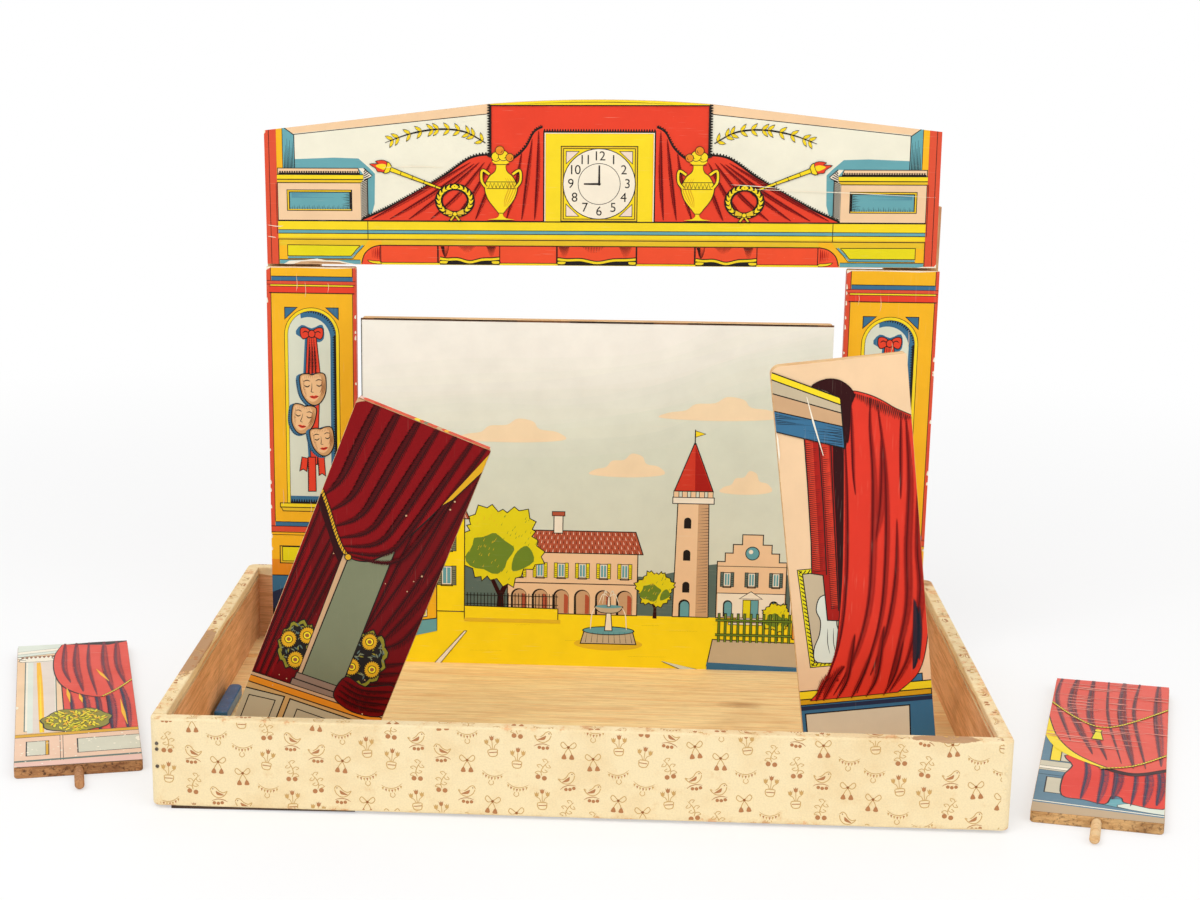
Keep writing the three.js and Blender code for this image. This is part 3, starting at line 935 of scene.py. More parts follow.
def strip(name: str, place: Matrix, wide: float, deep: float,
        inks: Sequence[tuple[Ink, float, float]]) -> Print:
    """Prints one edge of a board in patches of colour.

    Args:
        name: The piece's name.
        place: The edge's front line, along it and to the back.
        wide: Its length in millimetres.
        deep: Its depth.
        inks: Each patch's ink and its two ends as shares of the length.

    Returns:
        The print, ready to press.
    """
    art = Print(name, place, box(-wide / 2, 0.5, wide / 2, deep - 0.4))
    for ink, start, stop in inks:
        left, right = (start - 0.5) * wide, (stop - 0.5) * wide
        art.fill(ink, smooth([(left, 0), (right, 0), (right - 1.5, deep / 2), (right + 1, deep),
                (left + 1.5, deep), (left - 1, deep / 2)], True, 2))
    return art


def leaning(turn: float) -> tuple[Vector, Vector]:
    """Gives a standing board's directions, across it and up it, by the degrees that it leans."""
    lean = math.radians(turn)
    return Vector((math.cos(lean), 0, -math.sin(lean))), Vector((math.sin(lean), 0, math.cos(lean)))


def upright(x: float, y: float, z: float, turn: float = 0.0) -> Matrix:
    """Gives the place of a standing board's front.

    Args:
        x: Middle of its foot, in millimetres.
        y: Its front face.
        z: Its foot.
        turn: Degrees that its top leans to the right.

    Returns:
        Across the board, up the board and out of it, in metres.
    """
    return seat(Vector((x, y - INK_GAP, z)), *leaning(turn))


def seat(origin: Vector, across: Vector, up: Vector) -> Matrix:
    """Gives the place of a face by its origin in millimetres and two of its directions."""
    grid = Matrix((across, up, across.cross(up))).transposed().to_4x4()
    return Matrix.Translation(origin * MM) @ grid


# The boards


@dataclass
class Pediment:
    """The printed board across the top: clock, two draped fields, pedestals and a valance."""

    width: float = 521.0
    end_height: float = 104.3
    break_at: float = 84.0
    break_height: float = 124.7
    crown: float = 128.0
    dial: Point = (0.0, 63.8)
    dial_radius: float = 27.6
    foot: tuple[float, float, float] = (6.25, 154.3, 319.0)
    lean: float = -0.474
    shift: float = -0.95

    def edge(self) -> Outline:
        """Gives the board's outline, anticlockwise.

        Returns:
            The outline.
        """
        half = self.width / 2
        arch = [(self.break_at - self.break_at * 2 * i / 12, self.break_height
                + (self.crown - self.break_height) * (1 - (1 - i / 6) ** 2)) for i in range(13)]
        return [(-half, 0.2), (half, 0.2), (half, self.end_height), *arch, (-half, self.end_height)]

    def rail(self, art: Print) -> None:
        """Prints the long mouldings between the fields and the valance.

        Args:
            art: The board's print.
        """
        art.fills((Ink.AMBER, self.edge()), (Ink.YELLOW, box(-254, 27.2, 254, 33.9)),
            (Ink.BLUE, box(-254, 24.6, 254, 27.2)), (Ink.OCHRE, box(-257, 19.9, 256, 24.4)),
            (Ink.YELLOW, box(-257, 21.2, 256, 24.0)), (Ink.OCHRE, box(-250, 14.8, 250, 19.4)))
        for height, wide in ((34.2, 0.8), (27.2, 0.5), (24.4, 0.6), (19.8, 0.7)):
            art.fill(Ink.BLACK, box(-256, height - wide / 2, 256, height + wide / 2))
        for joint in (-180.5, 180.5):
            art.fill(Ink.BLACK, box(joint - 0.3, 20, joint + 0.3, 33.9))

    def end(self, art: Print) -> None:
        """Prints one end: strips, pedestal, blue shade and the small panel below.

        Args:
            art: The board's print.
        """
        art.fills((Ink.SKY, [(-248, 34.6), (-84, 34.6), (-84, 117.4), (-246, 101)]),
            (Ink.PEACH, [(-250, 100.6), (-84, 117.4), (-84, 125.5), (-252, 106)]))
        art.line(Ink.BLACK, [(-247.5, 100.1), (-84, 117.4)], 0.6)
        art.fill(Ink.BLUE, [(-246, 73), (-246, 81.8), (-206, 83.4), (-187, 82.8), (-178.6, 75.5),
                (-174.2, 71), (-174.8, 48), (-177, 40), (-186, 38)])
        art.rimmed(Ink.BLUE, [(-246.2, 75), (-237.5, 75), (-237.5, 100.6), (-246.2, 107)], 0.7)
        art.hatch(Ink.BLACK,
            [[(-245.0 + 1.1 * i, 75.4), (-244.8 + 1.05 * i, 88 + (i * 5) % 11)] for i in range(7)],
            0.7, 1, 0.2)
        art.fills((Ink.AMBER, box(-252, 70, -246.4, 112)), (Ink.BLACK, box(-246.6, 70, -246.1, 110)))
        # The pedestal's face, its inset, cornice and slab.
        art.panel(Ink.PEACH, box(-251, 34.6, -185.2, 64), 0.8)
        art.fills((Ink.BLACK, box(-243.9, 42.0, -192.4, 58.6)),
            (Ink.OCHRE, box(-243.3, 42.6, -193.4, 58.0)), (Ink.BLACK, box(-242.2, 43.4, -193.4, 57.0)),
            (Ink.BLUE, box(-241.4, 43.4, -194.6, 56.3)))
        art.hatch(Ink.STEEL,
            [[(-240, 55.4 - i * 0.9), (-206 - 9 * (i % 3), 55.2 - i * 0.9)] for i in range(4)], 0.4,
            1, 0.1)
        art.hatch(Ink.BLACK,
            [[(-194.8, 44 + i * 1.25), (-198 - (i * 5) % 4, 43.6 + i * 1.25)] for i in range(10)], 0.6,
            1, 0.1)
        art.hatch(Ink.BLACK,
            [[(-240.8 + i * 1.3, 43.4), (-240.6 + i * 1.3, 45 + (i * 7) % 3)] for i in range(35)], 0.5,
            1, 0.1)
        art.panel(Ink.PEACH, [(-250.6, 70.4), (-186, 70.4), (-187.5, 75.2), (-250.6, 75.2)], 0.6)
        art.teeth(Ink.BLACK, (-249.6, 73), (-187, 73), 1.9, 1.9)
        art.fill(Ink.BLACK, box(-250, 70.2, -186, 71.8))
        art.panels((Ink.YELLOW, [(-254.6, 66.6), (-183.2, 66.6), (-183.2, 70.2), (-254.6, 70.2)], 0.6),
            (Ink.OCHRE, [(-252.5, 64.0), (-184.4, 64.0), (-183.4, 66.4), (-254.4, 66.4)], 0.6))
        # The pedestal's shaded side, in pen strokes.
        art.fill(Ink.CREAM, [(-185.2, 35), (-180.2, 38.5), (-180.2, 67), (-176.4, 69.6), (-183, 75.4),
                (-187, 75.2), (-183.2, 70.4), (-183.2, 66.6), (-185.2, 64)])
        art.hatch(Ink.BLACK, [[(-185.0, 37 + 1.3 * i), (-180.3, 39.4 + 1.3 * i)] for i in range(22)], 0.8)
        art.hatch(Ink.BLACK,
            [[(-183.0, 66.2 + 1.5 * i), (-177.6 - i * 0.9, 68.4 + 1.5 * i)] for i in range(5)], 0.8)
        art.line(Ink.BLACK, [(-180.2, 38.5), (-180.2, 67), (-176.4, 69.6), (-183, 75.4)], 0.8)
        # The sunk panel below, its inner end curved with the valance.
        art.panel(Ink.LIME, [(-244.2, 6.6), (-244.2, 15.3), (-184.4, 15.0), *smooth(
            [(-186.2, 15.2), (-189.6, 12.0), (-192, 9.0), (-194.2, 6.6)])], 0.6)
        art.fill(Ink.BLUE, stroke([(-244, 5.4), (-193.4, 5.6), (-190.4, 9.4), (-184.6, 15.0)], 1.5))
        art.line(Ink.BLACK, [(-244.4, 4.5), (-192.6, 4.6), (-189.2, 9.2), (-183.4, 15.2)], 0.5)
        art.fills((Ink.AMBER, [(-186, 0.2), (-186, 1.2), (-184, 8.2), (-178, 13.6), (-170, 15.6),
                (-170, 19.2), (-180, 19.2), (-187.4, 9), (-191, 4.4), (-191, 0.2)]),
            (Ink.BLUE, box(-250.6, 0.4, -186.6, 3.6)), (Ink.BLACK, box(-250.6, 3.4, -187, 3.9)))
        # Red strips down the board's end.
        art.fills((Ink.BRICK, box(-262, 0, -251.2, 128)), (Ink.BLACK, box(-251.5, 0, -250.9, 20)),
            (Ink.BLACK, box(-257.2, 0, -256.7, 128)), (Ink.BLACK, box(-252.2, 24, -251.7, 64)))

    def cloth(self, art: Print) -> None:
        """Prints one draped field: heaped red cloth, a gilt urn, a laurel wreath and a torch.

        Args:
            art: The board's print.
        """
        art.fill(Ink.RED, box(-84, 34.6, -43, 128))
        crest = smooth([(-184, 35), (-164, 44), (-140, 57), (-120, 69), (-106, 79), (-96, 84), (-84, 85),
                (-72, 81), (-64, 84), (-56, 92), (-50, 103), (-43, 107)])
        art.fills((Ink.BLACK, [(x - 0.9, y + 1.5) for x, y in crest] + [(-42.4, 34.6), (-186, 34.6)]),
            (Ink.RED, [*crest, (-43, 35)]))
        for a, b in zip(crest[::2], crest[2::2]):
            art.teeth(Ink.BLACK, (b[0], b[1] + 0.9), (a[0], a[1] + 0.9), 2.0, 1.9)
        # Folds fan out to the hem, and others hang beside the clock.
        for start, bend, stop in (((-100, 80), (-138, 58), (-177, 36)), ((-97, 79), (-130, 56), (-163, 36)),
                ((-93, 80), (-120, 57), (-148, 36)), ((-89, 80), (-109, 56), (-131, 36)),
                ((-84, 80), (-98, 56), (-113, 36)), ((-78, 78), (-88, 56), (-96, 36)),
                ((-47, 104), (-48, 70), (-50, 36)), ((-52, 98), (-56, 68), (-60, 36)),
                ((-60, 88), (-65, 62), (-72, 36))):
            path = smooth([start, bend, stop], steps=8)
            art.fold(path, 2.9, Ink.BLOOD, Ink.WINE, 0.28)
        # A gilt urn on a low foot.
        urn = smooth([(-86, 36), (-80, 37), (-77.4, 40), (-80, 44), (-86, 52), (-88.4, 61), (-85, 69),
                (-80.6, 73), (-79.6, 78), (-82.6, 81.5), (-69.4, 81.5), (-72.4, 78), (-71.4, 73), (-67, 69),
                (-63.6, 61), (-66, 52), (-72, 44), (-74.6, 40), (-72, 37), (-66, 36)], True, 4)
        art.fills((Ink.BLACK, [(x + (x + 76) * 0.06, y + (y - 58) * 0.03) for x, y in urn]),
            (Ink.YELLOW, urn))
        for shift in (0, 1.9, 3.8, 5.4):
            art.line(Ink.GOLD, smooth([(-67.4 - shift, 68.4), (-64.4 - shift * 1.05, 61),
                    (-67.4 - shift, 52.6), (-72 - shift * 0.3, 46)]), 0.7, 0.2, 0.2)
        art.hatch(Ink.BLACK, [[(-87.2, 60 + h), (-64.8, 60 + h)] for h in (0, 5.2)], 0.5)
        art.hatch(Ink.BLACK, [[(-85.6 + 2.9 * i, 60.6), (-84.2 + 2.9 * i, 64.6), (-82.8 + 2.9 * i, 60.6)]
                for i in range(7)], 0.45)
        for tilt in (-1, 1):
            handle = smooth([(-76 + tilt * 9, 71), (-76 + tilt * 14.5, 74), (-76 + tilt * 15, 66),
                    (-76 + tilt * 11.6, 61)])
            art.lines((Ink.BLACK, handle, 3.0), (Ink.YELLOW, handle, 1.7))
        art.rows(Ink.BLACK,
            [stroke([(-82.4, 78.6), (-69.6, 78.6)], 0.5), stroke([(-78, 41), (-74, 41)], 0.5)])
        # Fruit and leaves over the urn's lip.
        for x, y, r in ((-79.8, 84.6, 3.3), (-74.2, 85.4, 3.6), (-69.2, 84.0, 2.8), (-76.9, 89.4, 3.1)):
            art.fills((Ink.BLACK, disc((x, y), r + 0.5)),
                (Ink.ORANGE if r < 3.3 else Ink.YELLOW, disc((x, y), r)))
            art.line(Ink.BLACK, arc((x, y), r * 0.6, -80, 20), 0.45, 0.2, 0.2)
        self.spray(art, smooth([(-88, 95), (-104, 103.5), (-124, 105.5), (-146, 102), (-166, 95)]), 11, 6.4)
        self.torch(art)
        self.wreath(art)
        art.fill(Ink.BLACK, box(-85, 84, -83.4, 126))
        art.teeth(Ink.BLACK, (-84.9, 84), (-84.9, 125), 2.0, -1.7)

    def spray(self, art: Print, stem: Outline, pairs: int, long: float) -> None:
        """Prints a laurel spray along a stem.

        Args:
            art: The board's print.
            stem: The stem's line.
            pairs: How many pairs of leaves.
            long: A leaf's length.
        """
        leaves: list[Outline] = []
        for i in range(pairs):
            at = stem[round((i + 0.6) / pairs * (len(stem) - 2))]
            after = stem[round((i + 0.6) / pairs * (len(stem) - 2)) + 1]
            along = Vector((after[0] - at[0], after[1] - at[1])).normalized()
            for turn in (0.75, -0.75):
                way = Matrix.Rotation(turn, 2) @ along
                side_way = Vector((-way.y, way.x))
                base = Vector(at)
                leaves.append([tuple(base + way * (long * a) + side_way * (long * b)) for a, b in (
                        (0.05, 0), (0.35, 0.17), (0.7, 0.15), (1.0, 0), (0.7, -0.13), (0.35, -0.17))])
        for leaf in leaves:
            centre = (sum(p[0] for p in leaf) / 6, sum(p[1] for p in leaf) / 6)
            art.fill(Ink.BLACK, [(centre[0] + (x - centre[0]) * 1.22, centre[1] + (y - centre[1]) * 1.35)
                    for x, y in leaf])
        art.line(Ink.BLACK, stem, 1.3, 0.6, 0.3)
        for leaf in leaves:
            art.fill(Ink.YELLOW, leaf)
            art.line(Ink.GOLD, [leaf[0], leaf[3]], 0.5, 0.5, 0.2)

    def torch(self, art: Print) -> None:
        """Prints a gilt torch that leans over the cloth, with its flame.

        Args:
            art: The board's print.
        """
        foot, head = Vector((-118, 58)), Vector((-163, 75))
        along = (head - foot).normalized()
        across = Vector((-along.y, along.x))
        rod = [tuple(foot - across * 0.7), tuple(head - across * 1.7), tuple(head + across * 1.7),
            tuple(foot + across * 0.7)]
        art.panel(Ink.YELLOW, rod, 0.6)
        cup = [tuple(head + along * a + across * b)
            for a, b in ((-1, -2.4), (1, -4.2), (3, -4.6), (3, 4.6), (1, 4.2), (-1, 2.4))]
        art.panel(Ink.YELLOW, cup, 0.6)
        flame = [tuple(head + along * a + across * b) for a, b in ((3, -3.8), (7, -4.4), (12, -1.6),
                (9.6, -0.6), (15.5, 2.0), (10, 3.4), (8, 5.2), (5, 4.4), (3, 3.6))]
        art.panel(Ink.RED, smooth(flame, True, 3), 0.5)
        core = [tuple(head + along * a + across * b)
            for a, b in ((3.2, -1.8), (7, -1.4), (10.6, 1.6), (6, 2.4), (3.2, 1.8))]
        art.fill(Ink.YELLOW, smooth(core, True, 3))
        for step in (0.2, 0.4, 0.6, 0.8):
            spot = foot + (head - foot) * step
            art.line(Ink.BLACK, [tuple(spot - across * 1.8), tuple(spot + across * 1.8)], 0.5)

    def wreath(self, art: Print) -> None:
        """Prints a laurel wreath with a bow, laid on the cloth.

        Args:
            art: The board's print.
        """
        centre = (-112, 50.5)
        art.fill(Ink.BLACK, disc(centre, 15.6, 0.86), disc(centre, 9.4, 0.86))
        leaves = []
        for i in range(20):
            turn = math.radians(-90 + (i + 0.5) * 18)
            way = 1 if i < 10 else -1
            base = Vector((centre[0] + 12.4 * math.cos(turn), centre[1] + 10.7 * math.sin(turn)))
            for lean in (0.55, -0.55):
                along = Vector((math.cos(turn + way * (1.57 + lean)), math.sin(turn + way * (1.57 + lean))))
                across = Vector((-along.y, along.x))
                leaves.append([tuple(base + along * a + across * b)
                        for a, b in ((-1.2, 0), (0.8, 1.0), (3.6, 0), (0.8, -1.0))])
        for leaf in leaves:
            art.fill(Ink.YELLOW, leaf)
        for tail in (-1, 1):
            ribbon = [(centre[0] + tail * x, centre[1] + y) for x, y in ((0.5, -9.2), (6.6, -6.2),
                    (7.6, -10.6), (1.2, -11.2), (4.6, -15.2), (2.4, -15.6), (-0.5, -11.6))]
            art.panel(Ink.OCHRE, ribbon, 0.5)
        art.panel(Ink.YELLOW, disc((centre[0], centre[1] - 10.3), 1.7), 0.5)

    def clock(self, art: Print) -> None:
        """Prints the clock, its numerals and the frame round it.

        Args:
            art: The board's print.
        """
        art.fill(Ink.BLACK, [(-43.4, 34.4), (43.4, 34.4), (43.4, 104.2), (-43.4, 104.2)])
        art.teeth(Ink.BLACK, (43.4, 104.1), (-43.4, 104.1), 2.0, 1.8)
        art.fills((Ink.SKY, box(-42.3, 34.8, 42.3, 103.0)), (Ink.AMBER, box(-41.6, 34.8, 41.6, 102.4)),
            (Ink.YELLOW, box(-41.0, 34.8, 41.0, 102.0)))
        x, y = self.dial
        art.fills((Ink.BLACK, box(x - 29.8, y - 29.2, x + 29.8, y + 29.2)),
            (Ink.OCHRE, box(x - 29.1, y - 28.5, x + 29.1, y + 28.5)),
            (Ink.BLACK, box(x - 27.9, y - 27.4, x + 27.9, y + 27.4)),
            (Ink.YELLOW, box(x - 27.3, y - 26.8, x + 27.3, y + 26.8)))
        for sx in (-1, 1):
            for sy in (-1, 1):
                corner = [(x + sx * a, y + sy * b) for a, b in ((25.6, 25.0), (15.6, 25.0), (25.6, 15.6))]
                art.panel(blend(Ink.CREAM, Ink.PINK, 0.35), corner, 0.6)
        art.fills((Ink.BLACK, disc((x, y), self.dial_radius + 0.7, 0.97)),
            (Ink.CREAM, disc((x, y), self.dial_radius, 0.97)))
        art.fill(Ink.BLACK, disc((x, y), 16.5, 0.97), disc((x, y), 16.0, 0.97))
        for hour in range(1, 13):
            turn = math.radians(90 - 30 * hour)
            art.word(Ink.BLACK, str(hour), (x + 21.9 * math.cos(turn), y + 21.2 * math.sin(turn)), 7.4)
        art.lines((Ink.BLACK, [(x, y - 0.5), (x, y + 14.4)], 1.7, 1.0, 0.7),
            (Ink.BLACK, [(x + 0.5, y), (x - 11.8, y)], 1.7, 1.0, 0.7))
        art.fill(Ink.BLACK, disc((x, y), 1.2))

    def valance(self, art: Print) -> None:
        """Prints the red valance that hangs below the mouldings.

        Args:
            art: The board's print.
        """
        art.fill(Ink.VALANCE, box(-170.5, 0.2, 170.5, 15.4))
        for art.flip in (-1, 1):
            quarter = [(-170.5, 15.4), (-177.5, 13.6), (-183.4, 8.4), (-185.8, 1.0), (-185.8, 0.2),
                (-170.5, 0.2)]
            art.fill(Ink.VALANCE, smooth(quarter[:4]) + quarter[4:])
            art.line(Ink.BLACK, smooth(quarter[:4]), 0.8)
            art.rows(Ink.BLOOD, [smooth([(-171.6 - i * 1.5, 14.4 - i * 0.6), (-172.4 - i * 1.3, 9.0),
                    (-171.4 - i * 1.5, 3.4 + 0.4 * i), (-171.2 - 1.5 * i, 9.2)], True, 3)
                    for i in range(5)])
            art.panel(Ink.YELLOW, smooth(
                [(-170.6, 0.6), (-178, 1.4), (-181, 3.6), (-176, 3.0), (-170.6, 2.6)], True, 3), 0.5)
        art.fills((Ink.YELLOW, box(-170, 0.2, 170, 1.7)), (Ink.BLACK, box(-170, 1.6, 170, 2.1)))
        for left, right in ((-124.0, -77.3), (-31.8, 29.4), (75.5, 122.5)):
            self.scallop(art, left, right)
        for joint in (-170.5, -125.3, -77.0, -32.1, 29.8, 75.1, 122.9, 169.8):
            wide = 0.9 if joint in (-125.3, -32.1, 29.8, 75.1) else 0.5
            art.fill(Ink.BLACK, box(joint - wide, 1.5, joint + wide * 0.3, 15.4))
        art.fill(Ink.BLACK, box(-171, 15.0, 171, 15.7))

    def scallop(self, art: Print, left: float, right: float) -> None:
        """Prints one hanging lappet with its gold hem.

        Args:
            art: The board's print.
            left: Its left end.
            right: Its right end.
        """
        wide = right - left
        hem = smooth([(left, 5.2), (left + wide * 0.12, 4.4), (left + wide * 0.3, 4.6),
                (left + wide * 0.5, 2.4), (left + wide * 0.7, 4.4), (left + wide * 0.88, 4.8),
                (right, 5.4)])
        art.fills((Ink.BLACK, [(left, 0.4), (right, 0.4), *hem[::-1]]),
            (Ink.VALANCE, [(left, 15.2), *hem, (right, 15.2)]))
        marks = []
        for centre, reach in ((0.08, 0.07), (0.45, 0.14), (0.86, 0.08)):
            for i in range(15):
                share = (i - 7) / 7
                long = (1 - share * share) * (4.8 if centre == 0.45 else 8.5)
                x = left + wide * (centre + reach * share)
                marks.append(stroke([(x, 14.8), (x + 0.3, 14.8 - long)], 0.5, 1, 0.1))
        art.rows(Ink.MAROON, marks)
        art.lines((Ink.BLACK, [(x, y + 0.4) for x, y in hem], 2.6), (Ink.YELLOW, hem, 1.7))
        for end, way in ((left, 1), (right, -1)):
            art.panel(Ink.YELLOW, smooth([(end, 1.4), (end + way * 5, 1.2), (end + way * 6.4, 3.0),
                    (end + way * 4.4, 3.6), (end, 3.4)], True, 3), 0.5)

    def wear(self, art: Print) -> None:
        """Prints the scratches and the torn lower edge.

        Args:
            art: The board's print.
        """
        for path in ([(117.0, 60.4), (150, 59.2), (196, 57.6), (258, 54.4)],
                [(101, 63.8), (121, 62.6), (140, 61)], [(-260, 31), (-252, 29.8), (-247, 30.2)],
                [(-259.8, 22), (-253, 21)], [(-168, 76), (-140, 77), (-120, 76)]):
            art.line(Ink.CREAM, smooth(path), 0.55, 0.1, 0.1)
        art.fills((Ink.CREAM, [(-247.5, 0.2), (-243, 2.8), (-232, 3.2),
                (-221, 4.6), (-214, 3.2), (-204, 3.0), (-197, 1.4), (-190, 0.2)]),
            (Ink.CLAY, [(-240, 0.2), (-234, 2.2), (-224, 2.8), (-214, 2.0), (-203, 1.8), (-198, 0.2)]))
        art.line(Ink.BROWN, smooth([(-228, 1.0), (-217, 1.8), (-206, 1.4), (-196, 0.4)]), 0.7, 0.1, 0.1)
        art.fills((Ink.CREAM, [(245, 0.2), (262, 0.2), (262, 5), (259, 1.2), (250, 1.0)]),
            (Ink.CREAM, [(-262, 128), (-262, 99), (-259.4, 103), (-258, 128)]))

    def build(self, material: bpy.types.Material) -> None:
        """Builds the print and fixes it to its board.

        Args:
            material: The printed paper's finish.
        """
        place = upright(*self.foot, self.lean) @ Matrix.Translation((self.shift * MM, 0, 0))
        art = Print("pediment_print", place, self.edge())
        self.rail(art)
        for art.flip in (-1, 1):
            self.end(art)
            self.cloth(art)
        art.fill(Ink.RED, [(-43.2, 103), (43.2, 103), (43.2, 129), (-43.2, 129)])
        art.fills((Ink.BLACK, [*self.edge()[3:-1], (-self.break_at, 123.4), (self.break_at, 123.4)]),
            (Ink.YELLOW, [*self.edge()[3:-1], (-self.break_at, 124.2), (self.break_at, 124.2)]))
        art.line(Ink.BLACK, [(x, y - 1.7) for x, y in self.edge()[5:-3]], 0.5, 0.2, 0.2)
        self.clock(art)
        self.valance(art)
        self.wear(art)
        own(art.press(material), "pediment", "printed_pediment")


@dataclass
class Pilaster:
    """A printed upright: mouldings, a niche with hung masks, and a plinth."""

    side: Side
    middle: float
    height: float
    half: float = 35.5
    front: float = 154.6
    foot: float = 3.0

    def mouldings(self, art: Print) -> None:
        """Prints the ground, the capital, the red edges and the plinth.

        Args:
            art: The board's print.
        """
        art.fills((Ink.NAVY, box(-self.half, 0, self.half, self.height)),
            (Ink.BLACK, box(-self.half, 0, self.half, 30)),
            (Ink.AMBER, box(-self.half, 58.4, self.half, self.height)),
            (Ink.ORANGE, box(-self.half, 58.4, self.half, 72)),
            (Ink.BRICK, box(-self.half, 95, -32.2, self.height)),
            (Ink.BRICK, box(33.0, 95, self.half, self.height)))
        art.rows(Ink.BLACK, [box(-32.3, 104, -31.8, self.height), box(32.6, 104, 33.1, self.height)])
        art.fills((Ink.STEEL, box(-31.6, 300.6, 33.2, 304.2)), (Ink.BLACK, box(-31.6, 304.0, 33.2, 304.6)),
            (Ink.BRICK, box(-35.5, 297.9, 35.5, 300.8)))
        art.rows(Ink.BLACK, [box(-35.5, 300.5, 35.5, 300.9), box(-35, 297.6, 35, 298.1)])
        art.fills((Ink.YELLOW, box(-32.4, 296.4, 33.4, 297.6)), (Ink.RED, box(-33.2, 291.4, 34.2, 296.4)))
        art.rows(Ink.BLACK, [box(-33, 296.1, 34, 296.6), box(-33.4, 290.7, 34.4, 291.5)])
        art.fills((Ink.STEEL, box(-32, 100.0, 33, 103.6)), (Ink.BLACK, box(-32, 103.3, 33, 103.9)),
            (Ink.BRICK, box(-35.5, 95.3, 35.5, 99.9)))
        art.rows(Ink.BLACK,
            [box(-35.5, 99.6, 35.5, 100.2), box(-35.5, 94.6, 35.5, 95.2), box(-35.5, 92.4, 35.5, 92.9)])
        art.panels((Ink.OCHRE, box(-28.6, 68.8, 29, 83.2), 0.8),
            (Ink.LIME, box(-26.6, 70.6, 28.2, 82.6), 0.6))
        art.fills((Ink.STEEL, [(-35.5, 44), (-24, 48.6), (-16, 58.4), (-35.5, 58.4)]),
            (Ink.BLACK, box(-35.5, 58.0, 35.5, 58.8)))

    def niche(self, art: Print) -> None:
        """Prints the arched niche, its shade and its sill.

        Args:
            art: The board's print.
        """
        for left in (-1, 1):
            points = [(left * 21.4, 279.6), (left * 11.4, 279.6), (left * 21.4, 270.2)]
            art.panel(Ink.STEEL, points, 0.7)
        arch = [*arc((0, 257.6), 21.6, 0, 180), (-21.6, 119.6), (21.6, 119.6)]
        art.rimmed(Ink.YELLOW, arch, 0.45)
        inner = [*arc((0, 257.6), 19.0, 0, 180), (-19.0, 119.6), (19.0, 119.6)]
        art.rimmed(Ink.HAZE, inner, 0.4)
        shade = [(19.0, 119.6), (19.0, 257.6), *arc((0, 257.6), 19.0, 0, 118),
            *arc((-2.2, 255.0), 17.0, 112, 0), (14.2, 119.6)]
        art.fill(Ink.STEEL, shade)
        art.teeth(Ink.BLACK, (18.9, 120), (18.9, 257), 2.0, -2.3)
        rim = arc((0, 257.6), 18.9, 0, 108)
        art.feather(Ink.BLACK, rim, 2.3, 2.0, 0.0, 1.1)
        art.fills((Ink.BLACK, box(17.6, 119.6, 19.2, 257.6)), (Ink.STEEL, box(-19.0, 119.6, 19.0, 125.6)))
        art.teeth(Ink.BLACK, (19, 120.2), (-19, 120.2), 2.0, 2.6)
        art.fill(Ink.BLACK, box(-19.2, 119.2, 19.2, 120.8))
        art.panels((Ink.YELLOW, box(-27.6, 116.0, 27.6, 119.4), 0.7),
            (Ink.OCHRE, [(-25.4, 112.8), (25.4, 112.8), (27.0, 115.9), (-27.0, 115.9)], 0.6))

    def bow(self, art: Print) -> None:
        """Prints the red bow, its two bands and the tails that hang below.

        Args:
            art: The board's print.
        """
        shade = [(-12.6, 258), (-8, 265.6), (0, 263), (8.6, 266), (9.6, 255), (3, 252)]
        art.fill(Ink.STEEL, smooth(shade, True, 3))
        for shift, colour in ((-1.9, Ink.STEEL), (0, Ink.RED)):
            band = [(-3.6 + shift, 256), (3.6 + shift, 256), (6.4 + shift, 226), (3.0 + shift, 152),
                (-2.0 + shift, 152), (-5.4 + shift, 226)]
            if colour is Ink.RED:
                art.panel(colour, band, 0.7)
            else:
                art.fill(colour, band)
        for x in (-3.4, -0.4, 2.4):
            art.feathers((Ink.MAROON, [(x * 0.6, 250), (x, 222)], 2.0, 1.0, 0.4, 0.8),
                (Ink.BLACK, [(x * 0.6, 255), (x, 228)], 1.3, 1.5, 0.4, 0.6))
            art.line(Ink.BLACK, [(x * 0.6, 255), (x, 226)], 0.6, 0.3, 1)
        for tail in ([(-11.4, 146.4), (-9.4, 158), (-4.6, 157), (-5.6, 146.0), (-8.4, 148)],
                [(4.2, 143), (3.4, 160), (8.6, 160), (9.6, 142.6), (6.8, 144.6)],
                [(-4.6, 129.6), (-4.4, 158), (1.6, 158), (1.8, 129.8)]):
            art.panel(Ink.RED, tail, 0.7)
            art.feather(Ink.BLACK, [tail[0], tail[1]], -1.3, 1.7, 0, 0.7)
        for way in (-1, 1):
            loop = smooth([(0, 259.6), (way * 4, 263.2), (way * 8.6, 263.0), (way * 9.0, 257.6),
                    (way * 6.8, 254.4), (way * 2.4, 256.4)], True, 4)
            art.panel(Ink.RED, loop, 0.7)
            art.line(Ink.BLACK, smooth([(way * 1.6, 258.8), (way * 5, 260.6), (way * 7.4, 259)]), 0.8,
                0.3, 0.1)
        art.panel(Ink.RED, disc((0, 258.6), 2.7, 1.1), 0.7)

    def mask(self, art: Print, x: float, y: float, wide: float, tilt: float) -> None:
        """Prints a calm stage mask: level brows, closed lids, a straight nose and a closed mouth.

        Args:
            art: The print.
            x: Its middle.
            y: The height of its eyes.
            wide: Its width.
            tilt: Degrees that it leans.
        """
        lean, size = math.radians(tilt), wide / 20

        def at(points: Sequence[Point]) -> Outline:
            """Puts points of the upright mask in their place."""
            return [(x + size * (a * math.cos(lean) - b * math.sin(lean)),
                    y + size * (a * math.sin(lean) + b * math.cos(lean))) for a, b in points]

